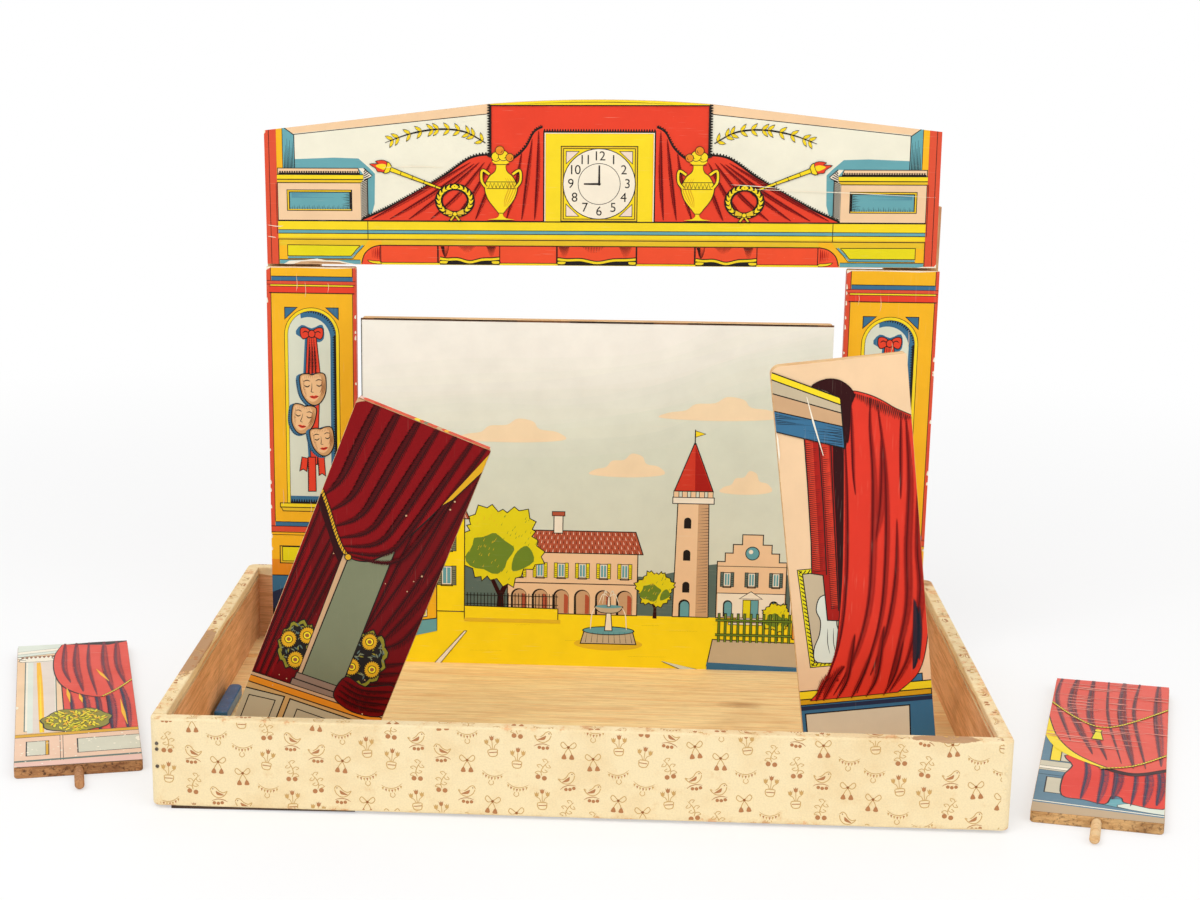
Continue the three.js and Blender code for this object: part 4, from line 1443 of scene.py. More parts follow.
        face = smooth([(-9.6, 8.6), (-4, 9.8), (0, 8.6), (4, 9.8), (9.6, 8.6), (10, 0), (8.6, -7.4),
                (4.6, -13.4), (0, -15.4), (-4.6, -13.4), (-8.6, -7.4), (-10, 0)], True, 3)
        shadow = [(a - 2.2, b - 0.9) for a, b in at(face)]
        art.fill(Ink.STEEL, grown(shadow, 1.2))
        art.hatch(Ink.BLACK, [[tuple(spot), tuple(spot + Vector((-0.9, -0.5)))]
                for spot, _ in walk(shadow[len(face) // 3:], 1.7)], 0.8)
        art.rimmed(blend(Ink.CLAY, Ink.ORANGE, 0.16), at(face), 0.9)
        art.fill(blend(Ink.PEACH, Ink.ORANGE, 0.14), at([(a * 0.8 - 1.2, b * 0.86 + 0.4) for a, b in face]))
        art.rows(Ink.BROWN, [at(stroke(smooth([(9 - i * 1.1, 5 - i), (9 - i * 1.1, -2),
                (7.0 - i * 1.1, -8 + i)]), 0.6, 0.2, 0.2)) for i in range(3)])
        art.rows(Ink.BROWN,
            [at(stroke([(-6 + i * 1.5, 8.2), (-6.2 + i * 1.5, 6.2)], 0.5, 0.6, 0.2)) for i in range(9)])
        for eye in (-1, 1):
            art.feather(Ink.BROWN, at([(eye * 8.2, 6), (eye * 8.4, -2), (eye * 6.4, -9)]), eye * -2.2,
                1.1, 0.3, 0.4)
            art.lines((Ink.BLACK, at(smooth([(eye * 2.2, 3.9), (eye * 4.8, 4.9), (eye * 7.6, 3.9)])),
                    0.75 * size, 0.3, 0.3),
                (Ink.BLACK, at(smooth([(eye * 2.6, 0.8), (eye * 4.8, -0.5), (eye * 7.2, 0.8)])),
                    0.95 * size, 0.4, 0.4))
        art.line(Ink.BLACK, at(smooth([(-0.9, 2.6), (-1.3, -2), (-2.0, -4.6), (0, -5.2)])), 0.6 * size,
            0.2, 0.6)
        art.fill(Ink.RED, at(smooth([(-3.6, -8.7), (-1.4, -7.7), (0, -8.2), (1.4, -7.7), (3.6, -8.7),
                (0, -10.6)], True, 3)))
        art.line(Ink.BLACK, at(smooth([(-3.8, -8.7), (0, -9.1), (3.8, -8.7)])), 0.6 * size, 0.3, 0.3)

    def wear(self, art: Print) -> None:
        """Prints rubbed spots and runs of old glue.

        Args:
            art: The board's print.
        """
        chance = random.Random(len(self.side.value))
        for _ in range(26):
            x, y = chance.choice((-35.2, 35.0)), chance.uniform(60, 310)
            art.fill(Ink.CREAM,
                smooth([(x - 0.8, y), (x, y + chance.uniform(1, 3.5)), (x + 0.8, y), (x, y - 1)], True, 3))
        for _ in range(7):
            x, y = chance.uniform(-28, 28), chance.uniform(80, 300)
            art.line(Ink.PEACH, smooth([(x, y), (x + 0.8, y + 5), (x + 0.2, y + chance.uniform(8, 16))]),
                0.4, 0.1, 0.1)
        art.fill(Ink.CREAM, [(-35.5, self.height), (-35.5, self.height - 3), (-32, self.height - 0.9),
                (-12, self.height - 0.7), (20, self.height - 1.3), (35.5, self.height - 0.4),
                (35.5, self.height)])

    def build(self, material: bpy.types.Material) -> None:
        """Builds the print and fixes it to its board.

        Args:
            material: The printed paper's finish.
        """
        art = Print(f"pilaster_{self.side.value}_print", upright(self.middle, self.front, self.foot),
                    box(-self.half, 0.2, self.half, self.height - 0.3))
        self.mouldings(art)
        self.niche(art)
        self.bow(art)
        for x, y, wide, tilt in ((0.6, 216.5, 20, 4), (-7.6, 191.5, 18.5, -9), (7.4, 173.4, 18, 9)):
            self.mask(art, x, y, wide, tilt)
        self.wear(art)
        own(art.press(material), f"{self.side.value}_side", "printed_pilaster")


@dataclass
class Backdrop:
    """The printed backdrop: a sunny town square with an arcade, a round tower and a fountain."""

    half: float = 180.25
    height: float = 280.0
    foot: tuple[float, float, float] = (4.7, 108.5, 3.0)

    def sky(self, art: Print) -> None:
        """Prints the sky, its clouds and the ground.

        Args:
            art: The board's print.
        """
        art.fill(Ink.MIST, box(-self.half, 0, self.half, self.height))
        for i in range(1, 17):
            level = 252 - i * 5.0
            art.fill(blend(Ink.MIST, Ink.HAZE, i / 16), smooth([(-self.half, level - 6),
                    (-100, level + 3 * math.sin(i)), (-20, level + 3 + 2 * math.sin(2.3 * i)),
                    (50, level + 12 + 4 * math.cos(1.7 * i)), (110, level + 34 + 5 * math.sin(i)),
                    (self.half, level + 52)], steps=3) + [(self.half, 40), (-self.half, 40)])
        for x, y, wide in ((-64, 186, 84), (26, 160, 58), (96, 206, 92), (118, 148, 40)):
            cloud = [(x - wide / 2, y), (x - wide * 0.42, y + 4), (x - wide * 0.28, y + 6),
                (x - wide * 0.2, y + 11), (x - wide * 0.04, y + 12), (x + wide * 0.06, y + 17),
                (x + wide * 0.2, y + 15), (x + wide * 0.26, y + 9), (x + wide * 0.42, y + 7),
                (x + wide / 2, y + 1), (x + wide * 0.2, y - 1.6), (x - wide * 0.2, y - 1.8)]
            art.fill(Ink.BUFF, smooth(cloud, True, 4))
        art.fills((Ink.SLATE, smooth([(-180, 74), (-130, 88), (-70, 79), (-20, 86),
                (40, 78), (100, 90), (150, 82), (180, 86)]) + [(180, 40), (-180, 40)]),
            (Ink.LEMON, box(-self.half, 0, self.half, 46)))
        art.hatch(Ink.BLACK, [[(a, b), (a + c, b + 0.4)] for a, b, c in ((40, 38, 14), (62, 34, 22),
                (-20, 24, 18), (96, 40, 9), (14, 31, 10), (-60, 36, 12), (-96, 14, 26), (30, 12, 30))],
            0.5, 0.1, 0.1)

    def window(self, art: Print, x: float, y: float, wide: float, tall: float,
            shutter: Ink = Ink.SAGE) -> None:
        """Prints a window with open shutters.

        Args:
            art: The board's print.
            x: Its middle.
            y: Its sill.
            wide: Its width.
            tall: Its height.
            shutter: The shutters' ink.
        """
        art.panel(Ink.CREAM, box(x - wide / 2, y, x + wide / 2, y + tall), 0.6)
        art.fills((Ink.BLUE, box(x - wide / 2 + 1, y + 1, x - 0.3, y + tall - 1)),
            (Ink.BLUE, box(x + 0.3, y + 1, x + wide / 2 - 1, y + tall - 1)))
        for side in (-1, 1):
            left = x + side * wide * 0.5 if side > 0 else x - wide * 0.5 - wide * 0.42
            art.panel(shutter, box(left, y - 0.3, left + wide * 0.42, y + tall + 0.3), 0.5)
            art.rows(Ink.BLACK,
                [box(left + 0.5, y + 1.2 + 1.7 * i, left + wide * 0.42 - 0.5, y + 1.6 + 1.7 * i)
                    for i in range(int((tall - 1.5) / 1.7))])
        art.fill(Ink.BLACK, box(x - wide * 0.62, y - 1.3, x + wide * 0.62, y - 0.5))

    def roof(self, art: Print, outline: Outline, rows: int = 5) -> None:
        """Prints a tiled roof.

        Args:
            art: The board's print.
            outline: Foot left, foot right, ridge right and ridge left.
            rows: How many rows of tiles.
        """
        art.panel(Ink.TILE, outline, 0.8)
        (left, foot), (right, _), (inner, _), (outer, ridge) = outline
        count = max(4, round((right - left) / 2.6))
        marks = []
        for i in range(1, count):
            low, top = left + (right - left) * i / count, outer + (inner - outer) * i / count
            marks += [stroke([(low + (top - low) * (k + t) / rows, foot + (ridge - foot) * (k + t) / rows)
                    for t in (0.12, 0.78)], 0.6, 1, 0.3) for k in range(rows)]
        art.rows(Ink.CREAM, marks[::2])
        art.rows(Ink.BLACK, marks[1::2])

    def tree(self, art: Print, x: float, y: float, size: float) -> None:
        """Prints a broad tree: forked trunk, dark heart and feathery light edge.

        Args:
            art: The board's print.
            x: Its middle.
            y: Its foot.
            size: Half of its crown's width.
        """
        trunk = [(x - 3, y), (x - 1.8, y + 14), (x - 8, y + 28), (x - 4.6, y + 28), (x, y + 18),
            (x + 5, y + 28), (x + 8, y + 27), (x + 2.8, y + 14), (x + 3.6, y)]
        art.fill(Ink.MAROON, [(a if size > 20 else x + (a - x) * size / 30, y + (b - y) * min(1, size / 26))
                for a, b in trunk])
        crown = [(x + size * (0.92 + 0.13 * math.sin(5.0 * t + x)) * math.cos(t),
                y + size * 1.62 + size * (0.9 + 0.1 * math.cos(6.3 * t)) * math.sin(t))
            for t in [i * math.tau / 46 for i in range(46)]]
        fringe = [(a + (a - x) * 0.06 * ((i % 2) * 2 - 1),
                b + (b - y - size * 1.62) * 0.06 * ((i % 2) * 2 - 1)) for i, (a, b) in enumerate(crown)]
        art.rimmed(Ink.LIME, fringe, 0.7)
        heart = [(x - size * 0.24 + size * 0.52 * math.cos(t) * (1 + 0.16 * math.sin(4 * t)),
                y + size * 1.42 + size * 0.46 * math.sin(t) * (1 + 0.12 * math.cos(5 * t)))
            for t in [i * math.tau / 30 for i in range(30)]]
        art.fills((Ink.GREEN, heart),
            (Ink.GREEN, smooth([(x + size * 0.3, y + size), (x + size * 0.78, y + size * 1.25),
                (x + size * 0.62, y + size * 1.62), (x + size * 0.34, y + size * 1.4)], True, 4)))
        chance = random.Random(round(x * 3 + y))
        marks = []
        for i in range(round(size * 2.6)):
            a, r = chance.uniform(0, math.tau), size * math.sqrt(chance.uniform(0.02, 0.8))
            spot = (x + r * math.cos(a), y + size * 1.62 + r * math.sin(a))
            marks.append(stroke([spot, (spot[0] + 1.1, spot[1] + 2.2)], 0.45, 1, 0.1))
        for mark in marks:
            art.fill(Ink.GREEN if mark[0][0] > x else Ink.OCHRE, mark)

    def arcade(self, art: Print) -> None:
        """Prints the long peach house with its arcade and red roof.

        Args:
            art: The board's print.
        """
        art.panel(Ink.PEACH, box(-66, 46, 36, 96), 0.8)
        self.roof(art, [(-70, 96), (40, 96), (34, 114), (-63, 114)])
        for i in range(6):
            x = -57 + i * 16.6
            art.fills((Ink.BLACK, [*arc((x, 60), 6.3, 0, 180), (x - 6.3, 46), (x + 6.3, 46)]),
                (Ink.CLAY, [*arc((x + 0.7, 60), 5.4, 0, 180), (x - 4.4, 46.4), (x + 6.0, 46.4)]),
                (Ink.TILE, [*arc((x + 2.4, 59), 3.4, 0, 90), (x + 2.4, 46.6), (x + 5.6, 46.6)]))
            self.window(art, x, 76, 6.0, 11.5, Ink.LIME)
        art.fill(Ink.BLACK, box(-66, 70.6, 36, 71.4))
        art.panels((Ink.CREAM, box(-30, 112, -23, 126), 0.7),
            (Ink.TILE, box(-31.4, 126, -21.6, 129.4), 0.6))

    def tower(self, art: Print) -> None:
        """Prints the round tower with its pointed red cap and banner.

        Args:
            art: The board's print.
        """
        art.panel(Ink.PEACH, [(64, 46), (92, 46), (90, 138), (66, 138)], 0.8)
        art.fill(Ink.CLAY, [(82, 46.5), (91.4, 46.5), (89.4, 137.5), (82, 137.5)])
        art.hatch(Ink.BLACK, [[(82 + (i % 3), 50 + i * 2.4), (90.4, 50.6 + i * 2.4)] for i in range(36)],
            0.4, 0.2, 1)
        art.panel(Ink.CREAM, box(62, 138, 94, 143), 0.7)
        for i in range(5):
            art.panel(Ink.PEACH, box(62.6 + i * 6.6, 143, 66.6 + i * 6.6, 148), 0.5)
        art.panel(Ink.ROSE, [(63, 148), (93, 148), (78.6, 186), (77.6, 186)], 0.8)
        art.fill(Ink.BLOOD, [(79, 148.6), (92, 148.6), (78.4, 184)])
        art.line(Ink.BLACK, [(78, 185), (78, 197)], 0.8)
        art.panel(Ink.YELLOW, [(78.2, 196), (86, 193.6), (78.2, 191)], 0.5)
        for y in (66, 92, 118):
            art.fill(Ink.BLACK, [*arc((74, y + 6), 2.8, 0, 180), (71.2, y), (76.8, y)])
        art.fills((Ink.BLACK, [*arc((73, 56), 4.4, 0, 180), (68.6, 46), (77.4, 46)]),
            (Ink.BLUE, [*arc((73.4, 55.4), 3.4, 0, 180), (70, 46.4), (76.8, 46.4)]))

    def hall(self, art: Print) -> None:
        """Prints the town hall with its stepped gable and steps.

        Args:
            art: The board's print.
        """
        steps = [(98, 46), (152, 46), (152, 92), (146, 92), (146, 99), (140, 99), (140, 106), (133, 106),
            (133, 114), (117, 114), (117, 106), (110, 106), (110, 99), (104, 99), (104, 92), (98, 92)]
        art.panel(Ink.PEACH, steps, 0.8)
        art.fill(Ink.CREAM, [(99, 47), (151, 47), (151, 66), (99, 66)])
        art.rows(Ink.BLACK, [box(98, 66, 152, 66.6), box(98, 88, 152, 88.5)])
        art.fills((Ink.BLACK, disc((125, 99), 5.6)), (Ink.BLUE, disc((125, 99), 4.9)),
            (Ink.CREAM, disc((123.8, 100.2), 1.7)))
        for x in (106, 125, 144):
            self.window(art, x, 72, 5.6, 11, Ink.SLATE)
        for x in (107, 143):
            art.fills((Ink.BLACK, [*arc((x, 57), 3.6, 0, 180), (x - 3.6, 47), (x + 3.6, 47)]),
                (Ink.BLUE, [*arc((x + 0.3, 56.6), 2.8, 0, 180), (x - 2.4, 47.4), (x + 3, 47.4)]))
        art.panels((Ink.CREAM, [(116, 62), (134, 62), (125, 68)], 0.6),
            (Ink.LIME, box(119, 46, 125, 61), 0.6), (Ink.BLUE, box(125, 46, 131, 61), 0.6))
        for i in range(3):
            art.panel(Ink.CREAM, box(114 - i * 3, 44.4 - i * 1.9, 136 + i * 3, 46.2 - i * 1.9), 0.5)

    def fountain(self, art: Print) -> None:
        """Prints the stone fountain in the middle of the square.

        Args:
            art: The board's print.
        """
        art.fill(Ink.OCHRE, disc((14, 22), 27, 0.2))
        art.panel(Ink.GREY, [(-8, 22), (36, 22), (33, 33), (-5, 33)], 0.8)
        art.fills((Ink.BLACK, disc((14, 33), 20.6, 0.18)), (Ink.BLUE, disc((14, 33), 19.6, 0.15)))
        art.panels((Ink.CREAM, [(11, 33), (17, 33), (15.6, 50), (12.4, 50)], 0.7),
            (Ink.GREY, smooth([(3, 52), (8, 48), (20, 48), (25, 52)]) + [(25, 53), (3, 53)], 0.7))
        art.fill(Ink.BLUE, disc((14, 53), 10.2, 0.13))
        art.panel(Ink.CREAM, [(12.8, 53), (15.2, 53), (14.8, 61), (13.2, 61)], 0.5)
        for side in (-1, 1):
            for reach, top in ((5, 66), (8, 63)):
                art.line(Ink.CREAM, smooth([(14 + side * 0.6, 61), (14 + side * reach * 0.6, top),
                        (14 + side * reach, 55)]), 0.7, 0.6, 0.3)
            art.line(Ink.CREAM,
                smooth([(14 + side * 10.6, 52), (14 + side * 13.2, 46), (14 + side * 14.2, 34)]), 0.8,
                0.4, 0.6)
        art.hatch(Ink.BLACK, [[(-4 + 4.6 * i, 23), (-2.6 + 4.2 * i, 32)] for i in range(9)], 0.45, 1, 0.2)

    def sides(self, art: Print) -> None:
        """Prints the houses that close the square at both sides, a low wall with railings, and a terrace.

        Args:
            art: The board's print.
        """
        self.roof(art, [(-181, 122), (-96, 122), (-104, 140), (-181, 146)], 6)
        art.panel(Ink.LEMON, [(-181, 46), (-100, 46), (-100, 122), (-181, 122)], 0.8)
        for x in (-165, -141, -114):
            self.window(art, x, 96, 8, 15)
            self.window(art, x, 68, 8, 15)
        art.panel(Ink.AMBER, [(-181, 16), (-122, 30), (-122, 88), (-181, 96)], 0.8)
        art.fills((Ink.BLUE, [(-181, 96), (-120, 87), (-117, 89.4), (-181, 101)]),
            (Ink.BLUE, [(-181, 15), (-122, 29.4), (-122, 40), (-181, 31)]))
        art.line(Ink.BLACK, [(-181, 31), (-122, 40)], 0.8)
        for x in (-172, -152, -134):
            art.fills((Ink.BLACK, [*arc((x, 62), 4.6, 0, 180), (x - 4.6, 40), (x + 4.6, 40.8)]),
                (Ink.CREAM, [*arc((x + 0.4, 61.6), 3.7, 0, 180), (x - 3.3, 40.8), (x + 4.1, 41.4)]))
            art.rows(Ink.LIME, [box(x - 2.9, 42, x - 0.6, 62), box(x + 1.0, 42, x + 3.4, 62)])
        art.panel(Ink.CREAM, [(-126, 0), (-121, 0), (-98, 30), (-100, 30)], 0.5)
        # A low wall before the arcade, and railings.
        art.panel(Ink.LEMON, [(-100, 40), (-26, 40), (-26, 50), (-100, 51)], 0.7)
        art.fill(Ink.OCHRE, [(-100, 38), (-24, 38), (-24, 41), (-100, 41)])
        art.rows(Ink.BLACK, [box(-98 + 2.7 * i, 50.6, -97.4 + 2.7 * i, 62) for i in range(27)])
        art.rows(Ink.BLACK, [box(-99, 59.6, -26, 60.2), box(-99, 52.6, -26, 53.1)])
        # The orange house at the right, the grey terrace and its green rail.
        art.panels((Ink.ORANGE, [(158, 30), (181, 24), (181, 168), (158, 160)], 0.8),
            (Ink.AMBER, [(150, 156), (181, 166), (181, 172), (151, 161)], 0.7))
        art.lines((Ink.BLACK, [(156, 158), (156, 40)], 1.5), (Ink.CREAM, [(156, 158), (156, 40)], 0.9))
        for y in (58, 92, 124):
            art.panel(Ink.AMBER, [*arc((171, y + 14), 4, 0, 180), (167, y), (175, y)], 0.7)
        art.panel(Ink.GREY, [(92, 6), (181, -4), (181, 26), (96, 28)], 0.8)
        art.fill(Ink.STEEL, [(92, 1), (181, -8), (181, 6), (92, 9)])
        art.panel(Ink.HAZE, [(56, 9), (94, 1), (181, -6), (92, -6)], 0.5)
        art.rows(Ink.BLACK, [box(99.6 + 5 * i, 26, 101.8 + 5 * i, 50) for i in range(12)])
        art.rows(Ink.GREEN, [box(100.1 + 5 * i, 26, 101.3 + 5 * i, 49.4) for i in range(12)])
        art.rows(Ink.BLACK, [box(98, 43, 158, 45.2), box(98, 31, 158, 33.2)])
        art.rows(Ink.GREEN, [box(98, 43.5, 158, 44.7), box(98, 31.5, 158, 32.7)])

    def build(self, material: bpy.types.Material) -> None:
        """Builds the print and fixes it to its board.

        Args:
            material: The printed paper's finish.
        """
        art = Print("backdrop_print", upright(*self.foot),
            box(-self.half, 0.2, self.half, self.height - 0.3))
        self.sky(art)
        self.arcade(art)
        self.tower(art)
        self.hall(art)
        self.tree(art, -72, 46, 34)
        self.tree(art, 50, 44, 15)
        self.tree(art, 146, 28, 12)
        self.sides(art)
        self.fountain(art)
        art.fill(blend(Ink.BROWN, Ink.BLACK, 0.35), box(-self.half, 278.3, self.half, 280))
        art.rows(Ink.BLACK, [box(-180.3, 120, -179.7, 280), box(-170, 278.9, -60, 280),
                box(-20, 278.7, 44, 280), box(70, 278.9, 168, 280)])
        own(art.press(material), "backdrop", "printed_backdrop")


@dataclass
class LeftWing:
    """The leaning left wing: a dark red swag, a stone column, flowers and a ledge."""

    # All of this wing's inks are darker than the right wing's: its dark red print, with painted shade over
    # every ink, as the whole wing stands in shade.
    half: float = 47.2
    height: float = 243.6
    turn: float = 21.25
    place: tuple[float, float, float] = (-192.5, -120.0, 6.3 + half * math.sin(math.radians(turn)))

    def hangings(self, art: Print) -> None:
        """Prints the cloth behind the column, at its left and right.

        Args:
            art: The board's print.
        """
        art.fills((Ink.CARMINE, box(-self.half, 0, self.half, self.height)),
            (Ink.CRIMSON, [(-47.2, 150), (-33, 118), (-30, 96), (-34, 40), (-47.2, 40)]))
        for start, bend, stop in (((-44, 170), (-45, 100), (-46, 30)), ((-36, 164), (-40, 100), (-42, 30)),
                ((-29, 160), (-34, 100), (-38, 30)), ((-24, 156), (-28, 104), (-33, 50)),
                ((-18, 146), (-22, 108), (-26, 70))):
            art.fold(smooth([start, bend, stop], steps=8), 3.6, Ink.WINE, Ink.MAROON)
        art.fill(Ink.MAROON,
            smooth([(-47.2, 176), (-30, 156), (-17, 140), (-20, 134), (-33, 150), (-47.2, 168)], True, 3))
        for start, bend, stop, long in (((38, 216), (28, 150), (14, 92), 3.6),
                ((47, 224), (37, 150), (22, 90), 5.0), ((50, 176), (41, 130), (26, 88), 5.0),
                ((50, 130), (40, 98), (24, 84), 4.4), ((20, 176), (17, 130), (14, 96), 3.0)):
            art.fold(smooth([start, bend, stop], steps=8), long, Ink.WINE, Ink.MAROON)
        for k in range(5):
            art.fold(smooth([(12, 80 - k * 6.4), (26, 74 - k * 6.6), (47.2, 84 - k * 7.6)]), -3.4,
                Ink.WINE, Ink.MAROON)

    def column(self, art: Print) -> None:
        """Prints the column, its peach edge and its stepped foot.

        Args:
            art: The board's print.
        """
        art.panels((Ink.CLAY, [(-18.4, 141), (-14.2, 142), (-13.4, 48), (-17.6, 48)], 0.5),
            (Ink.SAGE, [(-14.2, 150), (13, 176), (13.4, 48), (-14.6, 48)], 0.8))
        stone = blend(Ink.GREY, Ink.MAROON, 0.34)
        art.panels(*[(stone, [(-reach, low + 0.8), (-reach, low + 5.6), (16, low + 7.2), (16, low + 2.4)],
                0.7) for low, reach in ((44.2, 18.4), (39.2, 19.8), (34.2, 23.6))])

    def flowers(self, art: Print, x: float, y: float, wide: float, tall: float, seed: int) -> None:
        """Prints a bunch of yellow daisies in dark leaves.

        Args:
            art: The print.
            x: Its middle.
            y: Its middle's height.
            wide: Half its width.
            tall: Half its height.
            seed: Start of the row of chances.
        """
        chance = random.Random(seed)
        turns = [i * math.tau / 48 for i in range(48)]
        rim = [(x + wide * (1 + 0.09 * math.sin(13 * t + seed)) * math.cos(t),
                y + tall * (1 + 0.09 * math.cos(11 * t)) * math.sin(t)) for t in turns]
        art.rimmed(Ink.OLIVE, rim, 0.7)
        art.fill(Ink.BLACK, [(x + (a - x) * 0.86, y + (b - y) * 0.86) for a, b in rim[1:] + rim[:1]])
        for _ in range(46):
            a, r = chance.uniform(0, math.tau), math.sqrt(chance.uniform(0, 0.8))
            way = chance.uniform(0, 3.1)
            spot = (x + wide * r * math.cos(a), y + tall * r * math.sin(a))
            art.line(chance.choice((Ink.OLIVE, Ink.SLATE, Ink.SAGE)),
                [(spot[0] + k * 1.7 * math.cos(way), spot[1] + k * 1.7 * math.sin(way))
                    for k in (-1, 0, 1)], 1.1, 0.2, 0.2)
        for i in range(3):
            a = i * 2.1 + seed
            spot = (x + wide * 0.56 * math.cos(a), y + tall * 0.66 * math.sin(a))
            petals = [(spot[0] + r * math.cos(k * math.tau / 22), spot[1] + r * 1.15
                    * math.sin(k * math.tau / 22)) for k in range(22) for r in (4.4, 5.4)]
            art.rimmed(Ink.GOLD, petals, 0.6)
            art.fills((Ink.BLACK, disc(spot, 2.9)), (Ink.YELLOW, disc(spot, 2.4)),
                (Ink.BROWN, disc(spot, 1.4)))

    def swag(self, art: Print) -> None:
        """Prints the great swag, its gold hem and the cord that gathers it.

        Args:
            art: The board's print.
        """
        rope = smooth([(-47.2, 176), (-38, 165), (-29, 153), (-21, 144), (-14.6, 139.4)])
        hem = smooth([(-14.6, 139.4), (-8, 139.6), (0, 143), (9, 153), (19, 171), (32, 200), (49, 244)])
        art.fills((Ink.BLACK, [(x + 0.7, y - 0.7) for x, y in rope + hem] + [(49, 246), (-47.2, 246)]),
            (Ink.CRIMSON, rope + hem + [(-47.2, 245)]))
        tops = [(-34, 262), (-19, 262), (-4, 262), (10, 262), (23, 262), (35, 262), (45, 262)]
        feet = [(-44.0, 173.5), (-37, 164.4), (-30.6, 155.4), (-25.4, 149), (-20.8, 144.8), (-17.2, 142),
            (-13.6, 140.4)]
        for i, (top, foot) in enumerate(zip(tops, feet)):
            bend = (top[0] * 0.62 + foot[0] * 0.38 + 3.5, foot[1] + (top[1] - foot[1]) * (0.42 - 0.03 * i))
            low = (top[0] * 0.3 + foot[0] * 0.7 + 4 + i, foot[1] + (top[1] - foot[1]) * (0.16 - 0.018 * i))
            art.fold(smooth([(top[0] + 3, top[1]), bend, low, foot], steps=8), -6.4 + i * 0.4, Ink.WINE,
                Ink.MAROON)
        art.panel(Ink.GOLD, [(30.6, 196.5), (36, 203), (49, 232), (49, 247)], 0.7)
        art.lines((Ink.BLACK, rope, 3.0), (Ink.GOLD, rope, 1.9))
        art.hatch(Ink.BLACK, [[tuple(spot - along * 0.9 + Vector((-along.y, along.x)) * 1.0),
                tuple(spot + along * 0.9 - Vector((-along.y, along.x)) * 1.0)]
                for spot, along in walk(rope, 2.3)], 0.55)
        art.panel(Ink.GOLD, disc((-14.6, 139.4), 2.2), 0.6)

    def ledge(self, art: Print) -> None:
        """Prints the sloping orange ledge and the panels below it.

        Args:
            art: The board's print.
        """
        (a, low), (b, high) = [(x, 31 + (x + 47.2) * 0.06) for x in (-47.2, 47.2)]
        pale = blend(Ink.SAGE, Ink.BUFF, 0.55)
        art.fill(Ink.TAN, [(a, 0), (b, 0), (b, high), (a, low)])
        art.panels((pale, [(-48, -2), (-20, -2), (-20, low - 1), (-48, low - 5)], 0.9),
            (pale, [(-43, -4), (-25, -4), (-25, low - 6), (-43, low - 9)], 0.7),
            (pale, [(-16, -2), (52, -2), (52, high - 3), (-16, low - 1)], 0.9),
            (pale, [(-9, -4), (52, -4), (52, high - 9), (-9, low - 6)], 0.7),
            (Ink.ORANGE, [(a - 1, low), (b + 1, high), (b + 1, high + 5), (a - 1, low + 5)], 0.8))
        art.fills((Ink.CLAY, [(a, low + 5.3), (b, high + 5.3), (b, high + 7.6), (a, low + 7.6)]),
            (Ink.BLACK, stroke([(a, low + 7.6), (b, high + 7.6)], 0.6)))

    def build(self, material: bpy.types.Material) -> None:
        """Builds the print and fixes it to its board.

        Args:
            material: The printed paper's finish.
        """
        art = Print("wing_left_print", upright(*self.place, self.turn),
            box(-self.half + 0.3, 0.3, self.half - 0.3, self.height - 0.3))
        self.hangings(art)
        self.flowers(art, -25, 68, 12, 17, 3)
        self.flowers(art, 21, 76, 14, 20, 8)
        self.column(art)
        self.ledge(art)
        art.panel(Ink.CARMINE,
            smooth([(10, 46), (14, 60), (28, 58), (47, 66), (47.2, 44), (30, 38), (16, 40)], True, 4), 0.8)
        for k in range(4):
            art.fold(smooth([(13, 57 - k * 4), (28, 55 - k * 4), (47, 62 - k * 5)]), -3.0, Ink.WINE,
                Ink.MAROON)
        self.swag(art)
        chance = random.Random(4)
        for _ in range(14):
            x, y = chance.uniform(-44, 44), chance.uniform(20, 240)
            art.fill(Ink.CLAY, disc((x, y), chance.uniform(0.3, 0.7)))
        art.fill(Ink.CLAY, [(-47.2, 243.6), (-47.2, 239.5), (-45, 241.4), (-41, 243.6)])
        own(art.press(material), "wing_left", "printed_wing_left")


